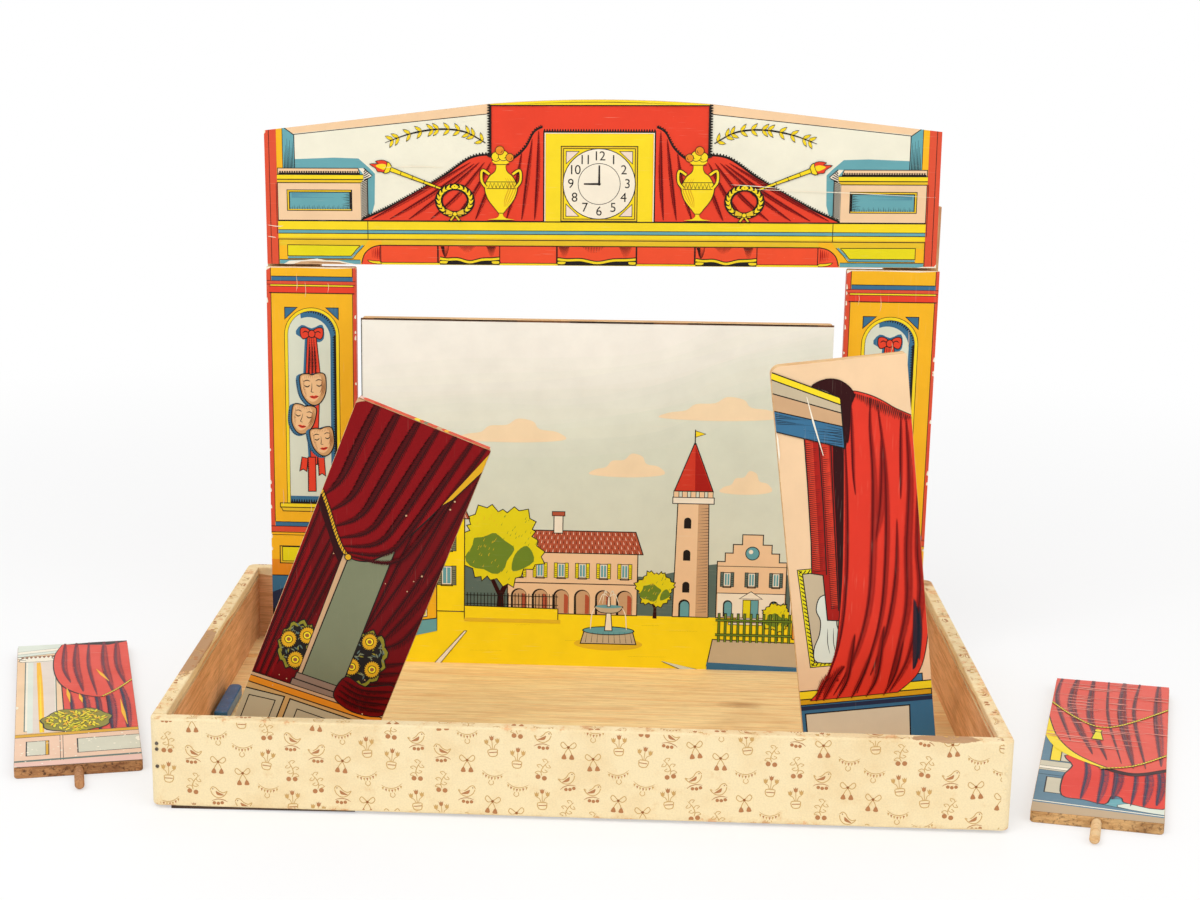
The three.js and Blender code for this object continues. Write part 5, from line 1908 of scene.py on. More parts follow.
@dataclass
class RightWing:
    """The right wing: a cornice, a red curtain thrown over it, a framed picture and a ledge."""

    half: float = 45.0
    height: float = 282.5
    turn: float = -7.19
    place: tuple[float, float, float] = (202.0, -89.0, 6.3 + half * math.sin(math.radians(-turn)))

    def edge(self) -> Outline:
        """Gives the board's outline, its worn upper left corner rounded.

        Returns:
            The outline.
        """
        left = -self.half + 0.3
        corner = [(left + 6.5 - 6.5 * math.sin(t), self.height - 6.8 + 6.5 * math.cos(t))
            for t in [i * math.pi / 12 for i in range(7)]]
        return [(left, 0.3), (self.half - 0.3, 0.3), (self.half - 0.3, self.height - 0.3), *corner]

    def cornice(self, art: Print) -> None:
        """Prints the four bands of the cornice, drawn slanting.

        Args:
            art: The board's print.
        """
        left, right = -45.4, -0.6
        for ink, (top_l, low_l), (top_r, low_r) in (
                (Ink.STEEL, (253, 238.6), (237.6, 222.6)), (Ink.CLAY, (265, 252.8), (246.8, 237.4)),
                (Ink.GREY, (274.6, 264.8), (252.4, 246.6)), (Ink.YELLOW, (279.4, 274.4), (257, 252.2))):
            art.panel(ink, [(left, low_l), (right, low_r), (right, top_r), (left, top_l)], 0.8)
        art.hatch(Ink.BLACK, [[(right - 1, 235.5 - i * 1.15), (right - 12 - (i * 7) % 17, 239.5 - i * 1.05)]
                for i in range(10)], 0.45, 1, 0.1)
        art.hatch(Ink.BLACK,
            [[(-44, 250.4 - i * 1.3), (-33 + (i * 5) % 13, 246.8 - i * 1.3)] for i in range(6)], 0.45,
            1, 0.1)

    def inner(self, art: Print) -> None:
        """Prints the dark curtain behind, all in pen strokes.

        Args:
            art: The board's print.
        """
        back = [(-26.6, 232), (-27, 200), (-28, 160), (-29.4, 138), (-22, 136), (-21.6, 104), (-8, 102),
            (-4, 140), (-1.4, 224)]
        art.panel(Ink.BLOOD, back, 0.8)
        art.rows(Ink.ROSE, [[(x, 232), (x + 4.6, 232), (x + 2, low), (x - 2.6, low)]
                for x, low in ((-25.6, 140), (-15.4, 114))])
        for low, high, left, right in ((139, 230, -26.4, -17.6), (112, 226, -16.4, -9.6)):
            count = int((high - low) / 1.35)
            art.hatch(Ink.BLACK, [[(left - (high - low - i * 1.35) * 0.02, low + i * 1.35),
                    (right - 1.2 - ((i * 13) % 7) * 0.5, low + 0.3 + i * 1.35)] for i in range(count)],
                0.6, 1, 0.2)
        art.fill(Ink.MAROON,
            smooth([(-8, 227), (-2, 224), (-4, 180), (-9.4, 130), (-11, 108), (-13, 108), (-11, 160)],
                True, 3))
        art.lines((Ink.BLACK, smooth([(-17.2, 229), (-18, 180), (-19.6, 136)]), 0.8),
            (Ink.BLACK, smooth([(-9.4, 227), (-11.6, 170), (-13.6, 110)]), 0.8))

    def picture(self, art: Print) -> None:
        """Prints the rope-framed picture of a vase.

        Args:
            art: The board's print.
        """
        frame = [(-38.6, 141), (-8, 141), (-4, 71.6), (-35.6, 71.6)]
        art.rimmed(Ink.LIME, frame, 0.6)
        inside = grown(frame, -3.2)
        art.rimmed(Ink.GREY, inside, 0.7)
        beads = walk([frame[1], frame[0], frame[3], frame[2]], 2.9)
        art.hatch(Ink.BLACK, [[tuple(s - a * 0.9 + Vector((-a.y, a.x)) * 0.5),
                tuple(s + a * 0.9 + Vector((-a.y, a.x)) * 2.6)] for s, a in beads], 0.7)
        vase = smooth([(-31, 74.6), (-32.4, 84), (-28, 94), (-26.4, 104), (-28.6, 112), (-25, 121),
                (-16, 121), (-14, 110), (-15.6, 100), (-12, 88), (-13, 74.6)], True, 4)
        art.panel(Ink.ICE, vase, 0.7)
        for x in (-22, -18):
            art.line(Ink.BLACK, smooth([(x, 98), (x - 0.8, 88), (x, 80)]), 0.5, 0.2, 0.2)

    def curtain(self, art: Print) -> None:
        """Prints the great red curtain, its folds and the dark turn over the cornice.

        Args:
            art: The board's print.
        """
        cloth = smooth(
            [(3.6, 258), (8, 260.4), (18.6, 256.6), (27, 251.6), (34.5, 246), (46, 239.4)]) + smooth(
            [(47, 180), (47, 120), (44.6, 88), (37, 62), (21.6, 48.3)]) + smooth([(-37.4, 47.6),
                (-26, 60), (-18.6, 78), (-13.6, 103.3), (-8.5, 139), (-4, 186), (-0.8, 226), (0.6, 246)])
        art.rimmed(Ink.SCARLET, cloth, 0.6)
        valleys = (([(6, 255), (5, 235), (3.6, 205), (4, 190)], 3.0, 0.9),
            ([(0.6, 240), (-1.4, 190), (-6.6, 130), (-16, 84), (-33, 48)], -3.4, 0.9),
            ([(19, 255), (17, 236), (16.4, 200), (12, 150), (6, 110), (-6, 76), (-22, 50)], 5.4, 0.8),
            ([(24, 228), (22.6, 206), (19.6, 180), (15, 158)], 6.0, 0.7),
            ([(23, 252), (24.6, 200), (20, 140), (12, 96), (-6, 50)], 4.2, 0.8),
            ([(38, 243), (35.6, 214), (33.6, 184)], 3.0, 0.9),
            ([(41, 240), (40, 196), (35, 150), (31, 104), (14, 50)], 6.2, 0.8),
            ([(46, 196), (42, 150), (41.4, 116), (31, 74), (16, 49)], 6.6, 0.7),
            ([(30, 170), (26, 130), (17, 92), (4, 62)], 4.0, 0.7))
        for points, long, pen in valleys:
            art.fold(smooth(points, steps=8), long * 0.78, Ink.BLOOD, Ink.WINE, pen * 0.5)
        for x, high, long in ((-34, 60, 6), (-29, 70, 7), (-20, 92, 5), (-10, 78, 4), (0, 96, 5),
                (12, 84, 4)):
            art.fold(smooth([(x, 47), (x + 9, 62), (x + 16, high)]), long * 0.72, Ink.BLOOD, Ink.MAROON,
                0.34)
        art.feather(Ink.BLACK, smooth([(8, 259.4), (17, 255.6), (27, 250.6), (45, 239)]), -7.5, 1.4,
            0.3, 0.6)
        turn = smooth([(-18.6, 266.6), (-9, 270.4), (1, 268), (8.0, 259.6), (5.0, 249), (2.4, 234),
                (-0.2, 223), (-1.4, 226), (-0.8, 246), (-3, 256.4), (-9, 262.6)], True, 4)
        art.rimmed(Ink.MAROON, turn, 0.4)
        art.feather(Ink.BLACK, smooth([(-16, 267), (-4, 267), (3.4, 260), (2.4, 242), (-0.2, 227)]),
            2.8, 1.2, 0.4, 0.7)
        inky = blend(Ink.NAVY, Ink.BLACK, 0.45)
        art.feathers((inky, smooth([(37, 113), (35, 90), (33, 64)]), 5.6, 0.7, 0.3, 0.8),
            (inky, smooth([(41, 108), (41, 90), (38, 70)]), -3, 0.7, 0.3, 0.8))

    def ledge(self, art: Print) -> None:
        """Prints the yellow ledge, the blue front and its grey panel.

        Args:
            art: The board's print.
        """
        art.fill(Ink.STEEL, box(-45.4, 0, 45.4, 47))
        art.panels((blend(Ink.GREY, Ink.SKY, 0.5), [(-42, -3), (27, -3), (29, 38), (-42, 38)], 0.9),
            (Ink.STEEL, [(18, 52), (39, 52), (39, 60), (18, 60)], 0.7),
            (Ink.GOLD, disc((31.6, 64.6), 4.4), 0.7), (Ink.GOLD, box(-46, 44.6, 44.4, 49.4), 0.7),
            (Ink.YELLOW, box(-46, 48.6, 46, 54.6), 0.8))
        art.fill(Ink.NAVY, box(-45.4, 40.6, 45.4, 43.6))

    def build(self, material: bpy.types.Material) -> None:
        """Builds the print and fixes it to its board.

        Args:
            material: The printed paper's finish.
        """
        art = Print("wing_right_print", upright(*self.place, self.turn), self.edge())
        art.fill(Ink.PEACH, self.edge())
        self.picture(art)
        self.inner(art)
        self.ledge(art)
        self.curtain(art)
        self.cornice(art)
        # The dark turn lies on the cornice's end too.
        turn = smooth([(-14, 267.6), (-6, 270), (3, 266), (9, 258.4), (5.6, 250), (4.4, 238), (2.0, 226),
                (0.2, 232), (-0.2, 248), (-1.6, 257.4), (-8, 263)], True, 4)
        art.fill(Ink.MAROON, turn)
        art.line(Ink.CREAM, [(-22.6, 260), (-19.6, 242), (-15, 219)], 1.2, 0.3, 0.3)
        art.fill(Ink.CREAM, [(-45, 216), (-43.4, 222), (-43.6, 234), (-45, 240)])
        own(art.press(material), "wing_right", "printed_wing_right")


@dataclass
class SpareWing:
    """A spare wing that lies beside the tray, face up."""

    side: Side
    middle: Point
    turn: float
    wide: float
    long: float
    skew: float
    face: float = 8.05

    def build(self, material: bpy.types.Material) -> None:
        """Builds the print and fixes it to its board.

        Args:
            material: The printed paper's finish.
        """
        lean = math.radians(self.turn)
        across = Vector((math.cos(lean), math.sin(lean), 0))
        up = Vector((-math.sin(lean), math.cos(lean), 0))
        foot = Vector((*self.middle, self.face)) - up * (self.long / 2)
        slope, half = math.tan(math.radians(self.skew)), self.wide / 2 - 0.3
        edge = [(-half, 0.3 - half * slope), (half, 0.3 + half * slope),
            (half, self.long - 0.3 + half * slope), (-half, self.long - 0.3 - half * slope)]
        side = self.side.value
        art = Print(f"spare_wing_{side}_print", seat(foot, across, up), edge)
        art.fill(Ink.PEACH, edge)
        (self.garden if self.side is Side.LEFT else self.parlour)(art, half)
        own(art.press(material), f"spare_wing_{side}", f"printed_spare_{side}")

    def cords(self, art: Print, *cords: Sequence[Point]) -> None:
        """Prints twisted yellow cords.

        Args:
            art: The board's print.
            cords: Each cord's points.
        """
        for cord in cords:
            path = smooth(cord)
            art.lines((Ink.BLACK, path, 2.2), (Ink.YELLOW, path, 1.3))
            art.rows(Ink.BROWN, [disc(tuple(spot), 0.5) for spot, _ in walk(path, 2.6)])

    def garden(self, art: Print, half: float) -> None:
        """Prints a column, a curtain drawn back by a cord, a bowl of leaves, and panels below a gold ledge.

        Args:
            art: The board's print.
            half: Half of the board's width.
        """
        capital = smooth([(-40, 224), (-12, 224), (-11, 232), (-8, 236), (-43, 236), (-41, 231)], True, 3)
        art.panels((Ink.ICE, [(-half - 3, 236), (half + 3, 252), (half + 3, 272), (-half - 3, 272)],
                0.7, Ink.SLATE),
            (Ink.CREAM, [(-half - 3, 242), (0, 250), (0, 256), (-half - 3, 249)], 0.6, Ink.SLATE),
            (Ink.CREAM, box(-37, 70, -14, 224), 0.8, Ink.SLATE), (Ink.CREAM, capital, 0.7))
        art.fills((blend(Ink.ICE, Ink.PINK, 0.45), box(-34, 66, -15, 222)),
            (Ink.ICE, box(-35, 66, -31, 222)),
            (Ink.AMBER, stroke(smooth([(-27, 221), (-25.6, 150), (-24.6, 66)]), 4.2, 0.7, 0.8)),
            (Ink.YELLOW, stroke([(-26, 190), (-25, 66)], 2.0, 0.3, 0.9)))
        art.teeth(Ink.BROWN, (-41, 236), (-11, 236), 3.2, 4.0)
        art.hatch(Ink.BLACK, [arc((x, 231), 2.6, 0, 300) for x in (-38, -14)], 0.7)
        # Pink mixed into the print's scarlet is painted sheen.
        red = blend(Ink.SCARLET, Ink.PINK, 0.14)
        art.panel(red, [(-10, 176), (-8, 62), (half + 4, 62), (half + 4, 200)], 0.9)
        for x, reach in ((-4, 3), (6, 5), (15, 4), (24, 6), (35, 5)):
            art.fold(smooth([(x - 3, 170), (x + 1, 120), (x + 1, 50)]), reach, Ink.PLUM, Ink.NAVY, 0.44)
        swag = smooth([(-8, 262), (-14, 236), (-15, 202), (-11, 170), (-2, 149), (11, 136), (22, 133),
                (32, 146), (half + 4, 170)])
        art.fills((Ink.BLACK, [(x - 0.9, y - 0.9) for x, y in swag] + [(half + 4, 266)]),
            (red, [*swag, (half + 4, 262), (28, 254), (10, 258)]))
        for x, foot, reach in ((-6, 168, 4), (3, 146, 5), (13, 136, 3), (25, 140, 5.4), (35, 156, 5)):
            art.fold(smooth([(x, 268), (x - 2, 205), (x + 3, foot)]), reach,
                blend(Ink.PLUM, Ink.SCARLET, 0.3), blend(Ink.NAVY, Ink.SCARLET, 0.36), 0.44)
        art.hatch(Ink.AMBER, ([(17, 196), (21, 182), (26, 166)], [(-6, 156), (-5, 142), (-4, 124)],
                [(3, 142), (4, 132), (5, 122)], [(33, 124), (34, 96), (36, 70)]), 2.8, 0.1, 0.1)
        self.cords(art, [(20, 133), (32, 148), (half + 3, 172)])
        bowl = [(25 * math.cos(t) * (1 + 0.05 * math.sin(9 * t)), 86 + 24 * math.sin(t)
                * (1 + 0.08 * math.sin(7 * t))) for t in [i * math.tau / 40 for i in range(40)]]
        art.panel(Ink.OLIVE, bowl, 1.0)
        chance = random.Random(6)
        for _ in range(110):
            a, r = chance.uniform(0, math.tau), math.sqrt(chance.uniform(0, 0.86))
            way = chance.uniform(0, math.tau)
            leaf = [(24 * r * math.cos(a) + k * 2.6 * math.cos(way),
                    86 + 23 * r * math.sin(a) + k * 3.4 * math.sin(way)) for k in (-1, 0, 1)]
            art.lines((Ink.BLACK, leaf, 3.2, 0.3, 0.3),
                (chance.choice((Ink.LIME, Ink.YELLOW, Ink.LIME, Ink.YELLOW, Ink.AMBER)), leaf, 2.4,
                    0.2, 0.2))
        grey, rosy = blend(Ink.GREY, Ink.ICE, 0.6), blend(Ink.PEACH, Ink.PINK, 0.5)
        art.panels((Ink.GOLD, box(-half - 3, 57, half + 3, 63), 0.7),
            (rosy, box(-half - 3, -8, half + 3, 57), 0.9), (rosy, box(-12, -8, -10, 57), 0.4),
            (grey, box(-half + 8, 21, -20, 48), 0.9), (Ink.GOLD, box(-22, 21, -20, 48), 0.3),
            (grey, box(0, 21, half + 6, 48), 0.9))
        art.fills((Ink.SLATE, box(-half - 2, 10, half + 2, 13)),
            (Ink.PINK, box(-half - 2, -8, half + 2, 9)))
        for _ in range(60):
            x, y, r = chance.uniform(-half, half), chance.gauss(30, 16), chance.uniform(0.3, 1.0)
            art.fill(Ink.CREAM,
                [(x + r * math.cos(t), y + r * math.sin(t)) for t in (0, 1.3, 2.6, 3.8, 5.1)])
        for x, y, r in ((-half, -3, 4), (half, 40, 3), (-half, 120, 2)):
            art.fill(Ink.CREAM, [(x + r * math.cos(t), y + 1.6 * r * math.sin(t))
                    for t in (0, 0.8, 1.5, 2.4, 3.1, 4.2, 5.1)])

    def parlour(self, art: Print, half: float) -> None:
        """Prints a full red curtain hung with cords over a blue dado.

        Args:
            art: The board's print.
            half: Half of the board's width.
        """
        grey = blend(Ink.GREY, Ink.ICE, 0.4)
        frame = blend(Ink.STEEL, Ink.GREY, 0.25)
        art.fill(frame, box(-half - 3, -8, half + 3, self.long + 8))
        art.panels((Ink.YELLOW, box(-half + 6, 92, -half + 13, 140), 0.7),
            (grey, box(-half + 13, 92, -8, 136), 0.7), (grey, box(-half - 3, 72, -6, 90), 0.6),
            (Ink.CREAM, box(-half - 3, 75, -8, 80), 0.6),
            (frame, box(-half - 3, 64, -6, 72), 0.6), (grey, box(-half + 6, 32, -6, 60), 0.9),
            (Ink.BLUE, smooth([(-2, 24), (12, 36), (half + 3, 38), (half + 3, 20)], True, 3), 0.7),
            (Ink.ICE, smooth([(12, 22), (22, 31), (half + 3, 28), (half + 3, 18)], True, 3), 0.5))
        drape = smooth([(-22, 108), (-20, 86), (-25, 64), (-24, 30), (-10, 27), (4, 24), (8, 40), (14, 38),
                (18, 30), (half + 4, 34), (half + 4, 118)], True, 4)
        # Pink mixed into the print's scarlet, and into the folds' shades below, is painted sheen.
        red = blend(Ink.SCARLET, Ink.PINK, 0.24)
        art.panel(Ink.SCARLET, drape, 1.0)
        for x, low, reach in ((-12, 34, 4.0), (-1, 30, 5.0), (8, 42, 6.0), (20, 34, 3.0), (28, 36, 5.4),
                (36, 40, 5)):
            art.fold(smooth([(x - 2, 118), (x + 2, 76), (x, low - 8)]), reach,
                blend(Ink.PLUM, Ink.PINK, 0.12), Ink.NAVY, 0.4)
        hem = smooth([(-half - 3, 205), (-half + 1, 176), (-33, 140), (-20, 112), (-2, 94), (14, 86),
                (26, 88), (half + 4, 104)])
        art.fill(Ink.MAROON, [(x, y - 6 if x > -18 else y) for x, y in hem] + [(half + 4, 120)])
        art.fill(Ink.YELLOW, smooth([(-half - 3, 214), (-half - 3, 158), (-34, 118), (-14, 97), (6, 88),
                (-16, 114), (-half + 4, 170)], True, 4))
        art.fills((Ink.BLACK, [(x - 0.6, y - 0.9) for x, y in hem]
                + [(half + 4, self.long + 8), (-half - 3, self.long + 8)]),
            (red, [*hem, (half + 4, self.long + 8), (-half - 3, self.long + 8)]))
        for top, bend, foot, wide in (((-36, 288), (-39, 220), (-24, 134), 3.2),
                ((-25, 288), (-28, 205), (-8, 112), 5.4), ((-14, 288), (-14, 190), (2, 104), 4.4),
                ((-3, 288), (-1, 195), (12, 100), 2.0), ((9, 288), (8, 200), (20, 94), 5.6),
                ((21, 288), (17, 205), (28, 96), 2.6), ((34, 288), (33, 210), (38, 104), 5.6)):
            art.fold(smooth([top, bend, foot], steps=8), wide, blend(Ink.PLUM, Ink.PINK, 0.3),
                blend(Ink.MAROON, Ink.PINK, 0.24), 0.4)
        chance = random.Random(11)
        # Pale pink strokes across the upper curtain: painted sheen, drawn as fine scratches.
        for i in range(44):
            x, wide = chance.uniform(-half - 6, half - 18), chance.uniform(12, 44)
            art.line(blend(Ink.SCARLET, Ink.PINK, 0.66),
                smooth([(x, 126 + 3.3 * i), (x + wide, 127 + 3.3 * i)]), chance.uniform(0.7, 1.9), 0.1, 0.1)
        self.cords(art, [(-half - 3, 216), (-24, 184), (-5, 168), (14, 182), (half + 3, 226)],
            [(-2, 86), (20, 98), (half + 3, 130)])
        art.panels((Ink.YELLOW, disc((-6, 160), 2.6), 0.6),
            (Ink.LIME, [(-10, 142), (-2, 142), (-4, 157), (-8, 157)], 0.6))
        art.fills((Ink.CREAM, box(-half - 3, 15, half + 3, 16.4)),
            (blend(Ink.GREY, Ink.BROWN, 0.2), box(-half - 3, -8, half + 3, 13)))


@dataclass
class TrayPaper:
    """Small tan and brown figures printed in staggered rows on the tray's cover paper."""

    half_width: float = 280.0
    half_depth: float = 180.0
    low: float = 2.0
    high: float = 63.0
    across: float = 16.4
    down: float = 20.6
    thick: float = 9.5

    def bird(self) -> list[tuple[Ink, Outline]]:
        """Gives a small bird on a twig with berries.

        Returns:
            Its inks and outlines, in order.
        """
        body = smooth([(-5, 4.4), (-3.4, 6.2), (-1.2, 5.4), (0.6, 3.0), (3.4, 1.4), (6, 2.2), (3.2, -1.0),
                (-0.8, -1.6), (-3.8, 0.8), (-4.8, 3.8)])
        wing = smooth([(-1.4, 3.2), (1.6, 1.2), (3.6, -0.4), (-0.6, 0.2), (-1.6, 2.4)])
        twig = smooth([(-5, -3.4), (-1, -2.6), (3, -3.6), (5.2, -5.2)])
        return [(Ink.TAN, stroke(body, 0.55)), (Ink.SEPIA, wing),
            (Ink.SEPIA, stroke(twig, 0.55, 0.4, 0.4)), (Ink.BROWN, disc((-3.2, 4.8), 0.4)),
            *[(Ink.SEPIA, disc(p, 1.15)) for p in ((-3.6, -5.0), (-1.0, -5.6), (1.6, -5.4))]]

    def pot(self) -> list[tuple[Ink, Outline]]:
        """Gives a pot with three tulips.

        Returns:
            Its inks and outlines, in order.
        """
        shapes = [(Ink.TAN, stroke(smooth([(-3, -2.4), (-2.2, -6.6), (2.2, -6.6), (3, -2.4), (-2.6, -2.2)],
                steps=3), 0.6))]
        for x, y in ((-3.6, 3.4), (0, 5.4), (3.6, 3.2)):
            shapes.append((Ink.TAN, stroke(smooth([(x * 0.2, -2.2), (x * 0.5, 0.6), (x, y - 1.6)]), 0.45)))
            shapes.append((Ink.SEPIA if x == 0 else Ink.TAN,
                    [(x - 1.5, y + 2), (x - 0.6, y + 0.9), (x, y + 2.2), (x + 0.6, y + 0.9),
                    (x + 1.5, y + 2), (x + 1.1, y - 0.8), (x, y - 1.6), (x - 1.1, y - 0.8)]))
        return shapes + [(Ink.SEPIA, stroke([(-2.6, -4.2), (2.6, -4.2)], 0.6))]

    def bells(self) -> list[tuple[Ink, Outline]]:
        """Gives a ribbon bow with two bells.

        Returns:
            Its inks and outlines, in order.
        """
        shapes = [(Ink.TAN,
                stroke(smooth([(0, 3), (w * 3.6, 6.4), (w * 5, 4.4), (w * 3, 2.2), (w * 0.4, 2.9)]), 0.55))
            for w in (-1, 1)]
        for w in (-1, 1):
            shapes.append((Ink.TAN, stroke(smooth([(0, 2.6), (w * 1.6, 0), (w * 2.4, -2)]), 0.5)))
            shapes.append((Ink.SEPIA,
                    smooth([(w * 2.4, -1.4), (w * 4.2, -4.6), (w * 2.8, -5.4), (w * 0.8, -4.8)], True, 2)))
        return shapes + [(Ink.BROWN, disc((0, 3), 0.9))]

    def sprig(self) -> list[tuple[Ink, Outline]]:
        """Gives a leafy sprig with cherries.

        Returns:
            Its inks and outlines, in order.
        """
        shapes = [(Ink.TAN, stroke(smooth([(-3.4, 6.6), (-0.6, 3), (0.8, -1), (0, -4)]), 0.55, 0.4, 0.8))]
        for x, y, lean in ((-2.6, 5.6, 0.4), (-1.2, 4, 3.6), (0.2, 1.8, 0.2), (0.8, -0.6, 3.2),
                (0.6, -2, -0.2)):
            shapes.append((Ink.TAN, stroke(smooth([(x, y), (x + 2 * math.cos(lean) - 1.1 * math.sin(lean),
                    y + 2 * math.sin(lean) + 1.1 * math.cos(lean)),
                    (x + 4 * math.cos(lean), y + 4 * math.sin(lean)), (x + 2 * math.cos(lean) + 1.0
                    * math.sin(lean), y + 2 * math.sin(lean) - 1.0 * math.cos(lean))]), 0.45)))
        return shapes + [(Ink.SEPIA, disc(p, 1.6)) for p in ((-2.0, -5.6), (2.2, -5.2))]

    def garland(self) -> list[tuple[Ink, Outline]]:
        """Gives a short garland with drops.

        Returns:
            Its inks and outlines, in order.
        """
        shapes = [(Ink.TAN,
                stroke(smooth([(-7, 3), (-3.6, 0.8), (0, 0), (3.6, 0.8), (7, 3)]), 0.5, 0.4, 0.4))]
        for i in range(7):
            x = -6 + 2 * i
            y = 0.06 * x * x
            shapes.append((Ink.SEPIA if i % 2 else Ink.TAN,
                    [(x - 0.75, y - 0.8), (x, y - 2.9), (x + 0.75, y - 0.8)]))
        return shapes + [(Ink.TAN, stroke(smooth([(w, -3), (w * 1.6, -5), (0, -6.4)]), 0.45))
            for w in (-1, 1)]

    def wall(self, art: Print, half: float, seed: int, low: float, high: float) -> None:
        """Prints staggered columns of figures on one face.

        Args:
            art: The face's print.
            half: Half of its length.
            seed: Start of the row of chances.
            low: Its lower edge.
            high: Its upper edge.
        """
        chance = random.Random(seed)
        kinds = (self.bird(), self.pot(), self.bells(), self.sprig(), self.garland())
        for column in range(int(2 * half / self.across) + 1):
            for row in range(int((high - low) / self.down) + 2):
                x = -half + (column + 0.5) * self.across
                y = high + 4 - ((column * 0.37) % 1.0 + row) * self.down
                if not low - 8 < y < high + 8:
                    continue
                turn, flip = chance.uniform(-0.15, 0.15), chance.choice((-1, 1))
                for ink, shape in kinds[(column * 2 + row * 3 + seed) % 5]:
                    art.fill(ink, [(x + flip * a * math.cos(turn) - b * math.sin(turn),
                            y + flip * a * math.sin(turn) + b * math.cos(turn)) for a, b in shape])

    def build(self, material: bpy.types.Material) -> None:
        """Builds the four faces and the wall tops, and fixes them to the tray.

        Args:
            material: The printed paper's finish.
        """
        w, d, wall, top = self.half_width, self.half_depth, self.thick, self.high + INK_GAP
        right, back, up = Vector((1, 0, 0)), Vector((0, 1, 0)), Vector((0, 0, 1))
        faces = (
            ("front", Vector((0, -d - INK_GAP, 0)), right, up, w, self.low, self.high),
            ("back", Vector((0, d + INK_GAP, 0)), -right, up, w, self.low, self.high),
            ("left", Vector((-w - INK_GAP, 0, 0)), -back, up, d, self.low, self.high),
            ("right", Vector((w + INK_GAP, 0, 0)), back, up, d, self.low, self.high),
            ("front_top", Vector((0, -d, top)), right, back, w, 0.0, wall),
            ("back_top", Vector((0, d - wall, top)), right, back, w, 0.0, wall),
            ("left_top", Vector((-w + wall, 0, top)), back, -right, d - 9, 0.0, wall),
            ("right_top", Vector((w, 0, top)), back, -right, d - 9, 0.0, wall))
        for seed, (name, origin, across, away, half, low, high) in enumerate(faces):
            art = Print(f"tray_{name}_figures", seat(origin, across, away),
                box(-half + 7, low + 1.4, half - 7, high - 1.4))
            self.wall(art, half - 4, seed, low, high)
            own(art.press(material), "tray", "papered_wood")


@dataclass
class BottomLip:
    """The bottom's bare edge: a thin dark line below the front wall, running out to the right; its
    near-black colour is partly dirt, partly painted shadow.
    """

    middle: float = -206.0
    front: float = -179.1
    long: float = 122.0
    deep: float = 6.0
    high: float = 1.96
    level: float = 1.0
    end: float = 1.4

    def build(self, material: bpy.types.Material) -> None:
        """Models the lip from a block, thins its right end from below and fixes it to the tray.

        Args:
            material: The near-black pine, dirt with painted shadow.
        """
        centre = self.middle * MM, (self.front + self.deep / 2) * MM, self.level * MM
        bpy.ops.mesh.primitive_cube_add(size=1.0, location=centre,
            scale=(self.long * MM, self.deep * MM, self.high * MM))
        lip = settle(bpy.context.object)
        for corner in lip.data.vertices:
            if corner.co.x > centre[0] and corner.co.z < centre[2]:
                corner.co.z = self.end * MM
        lip.name = lip.data.name = "tray_bottom_front_lip"
        lip.data.materials.append(material)
        own(lip, "tray", "pale_wood")


@dataclass
class WireNails:
    """The nails at the tray's corners: small flat heads on drawn wire, sunk in the paper."""

    head: float = 1.25
    shank: float = 0.8
    reach: float = 275.25
    depth: float = 180.0
    heights: tuple[float, ...] = (29.694, 41.65, 45.676)
    thick: float = 0.45
    long: float = 9.0
    proud: float = 0.3
    rim: float = 0.14

    def nail(self, x: float, side: int, height: float) -> bpy.types.Object:
        """Models one nail from a disc: bevelled head, drawn neck and shank.

        Args:
            x: Where it is along the wall.
            side: One for the back wall, minus one for the front.
            height: Its height.

        Returns:
            The nail in place.
        """
        bpy.ops.object.select_all(action="DESELECT")
        bpy.ops.mesh.primitive_circle_add(vertices=14, radius=self.head * MM, fill_type="NGON")
        item = bpy.context.object
        bpy.ops.object.mode_set(mode="EDIT")
        bpy.ops.mesh.select_all(action="SELECT")
        bpy.ops.mesh.extrude_region_move(TRANSFORM_OT_translate={"value": (0, 0, -self.thick * MM)})
        bpy.ops.mesh.inset(thickness=(self.head - self.shank) * MM)
        bpy.ops.mesh.extrude_region_move(TRANSFORM_OT_translate={"value": (0, 0, -self.long * MM)})
        bpy.ops.transform.resize(value=(0.7, 0.7, 1.0))
        bpy.ops.mesh.select_all(action="SELECT")
        bpy.ops.mesh.normals_make_consistent(inside=False)
        bpy.ops.object.mode_set(mode="OBJECT")
        rim = item.modifiers.new("rim", "BEVEL")
        rim.width, rim.segments, rim.angle_limit = self.rim * MM, 2, math.radians(50)
        bpy.ops.object.modifier_apply(modifier=rim.name)
        item.rotation_euler = (math.radians(-90 * side), 0, 0)
        item.location = (x * MM, side * (self.depth + self.proud) * MM, height * MM)
        return settle(item)

    def build(self, material: bpy.types.Material, papered: bpy.types.Material) -> None:
        """Builds all twelve and fixes them to the tray.

        Args:
            material: The steel of the nails that show.
            papered: The paper over the front right ones.
        """
        for side, wall, end, corner in ((-1, "front", -1, "left"), (-1, "front", 1, "right"),
                (1, "back", -1, "left"), (1, "back", 1, "right")):
            for i, height in enumerate(self.heights):
                item = self.nail(end * self.reach, side, height)
                item.name = item.data.name = f"wire_nail_{wall}_{corner}_{i + 1}"
                item.data.materials.append(papered if (side, end) == (-1, 1) else material)
                bpy.ops.object.shade_smooth_by_angle(angle=math.radians(40))
                own(item, "tray", "nail_steel", f"nail_{wall}_{corner}_{i + 1}")


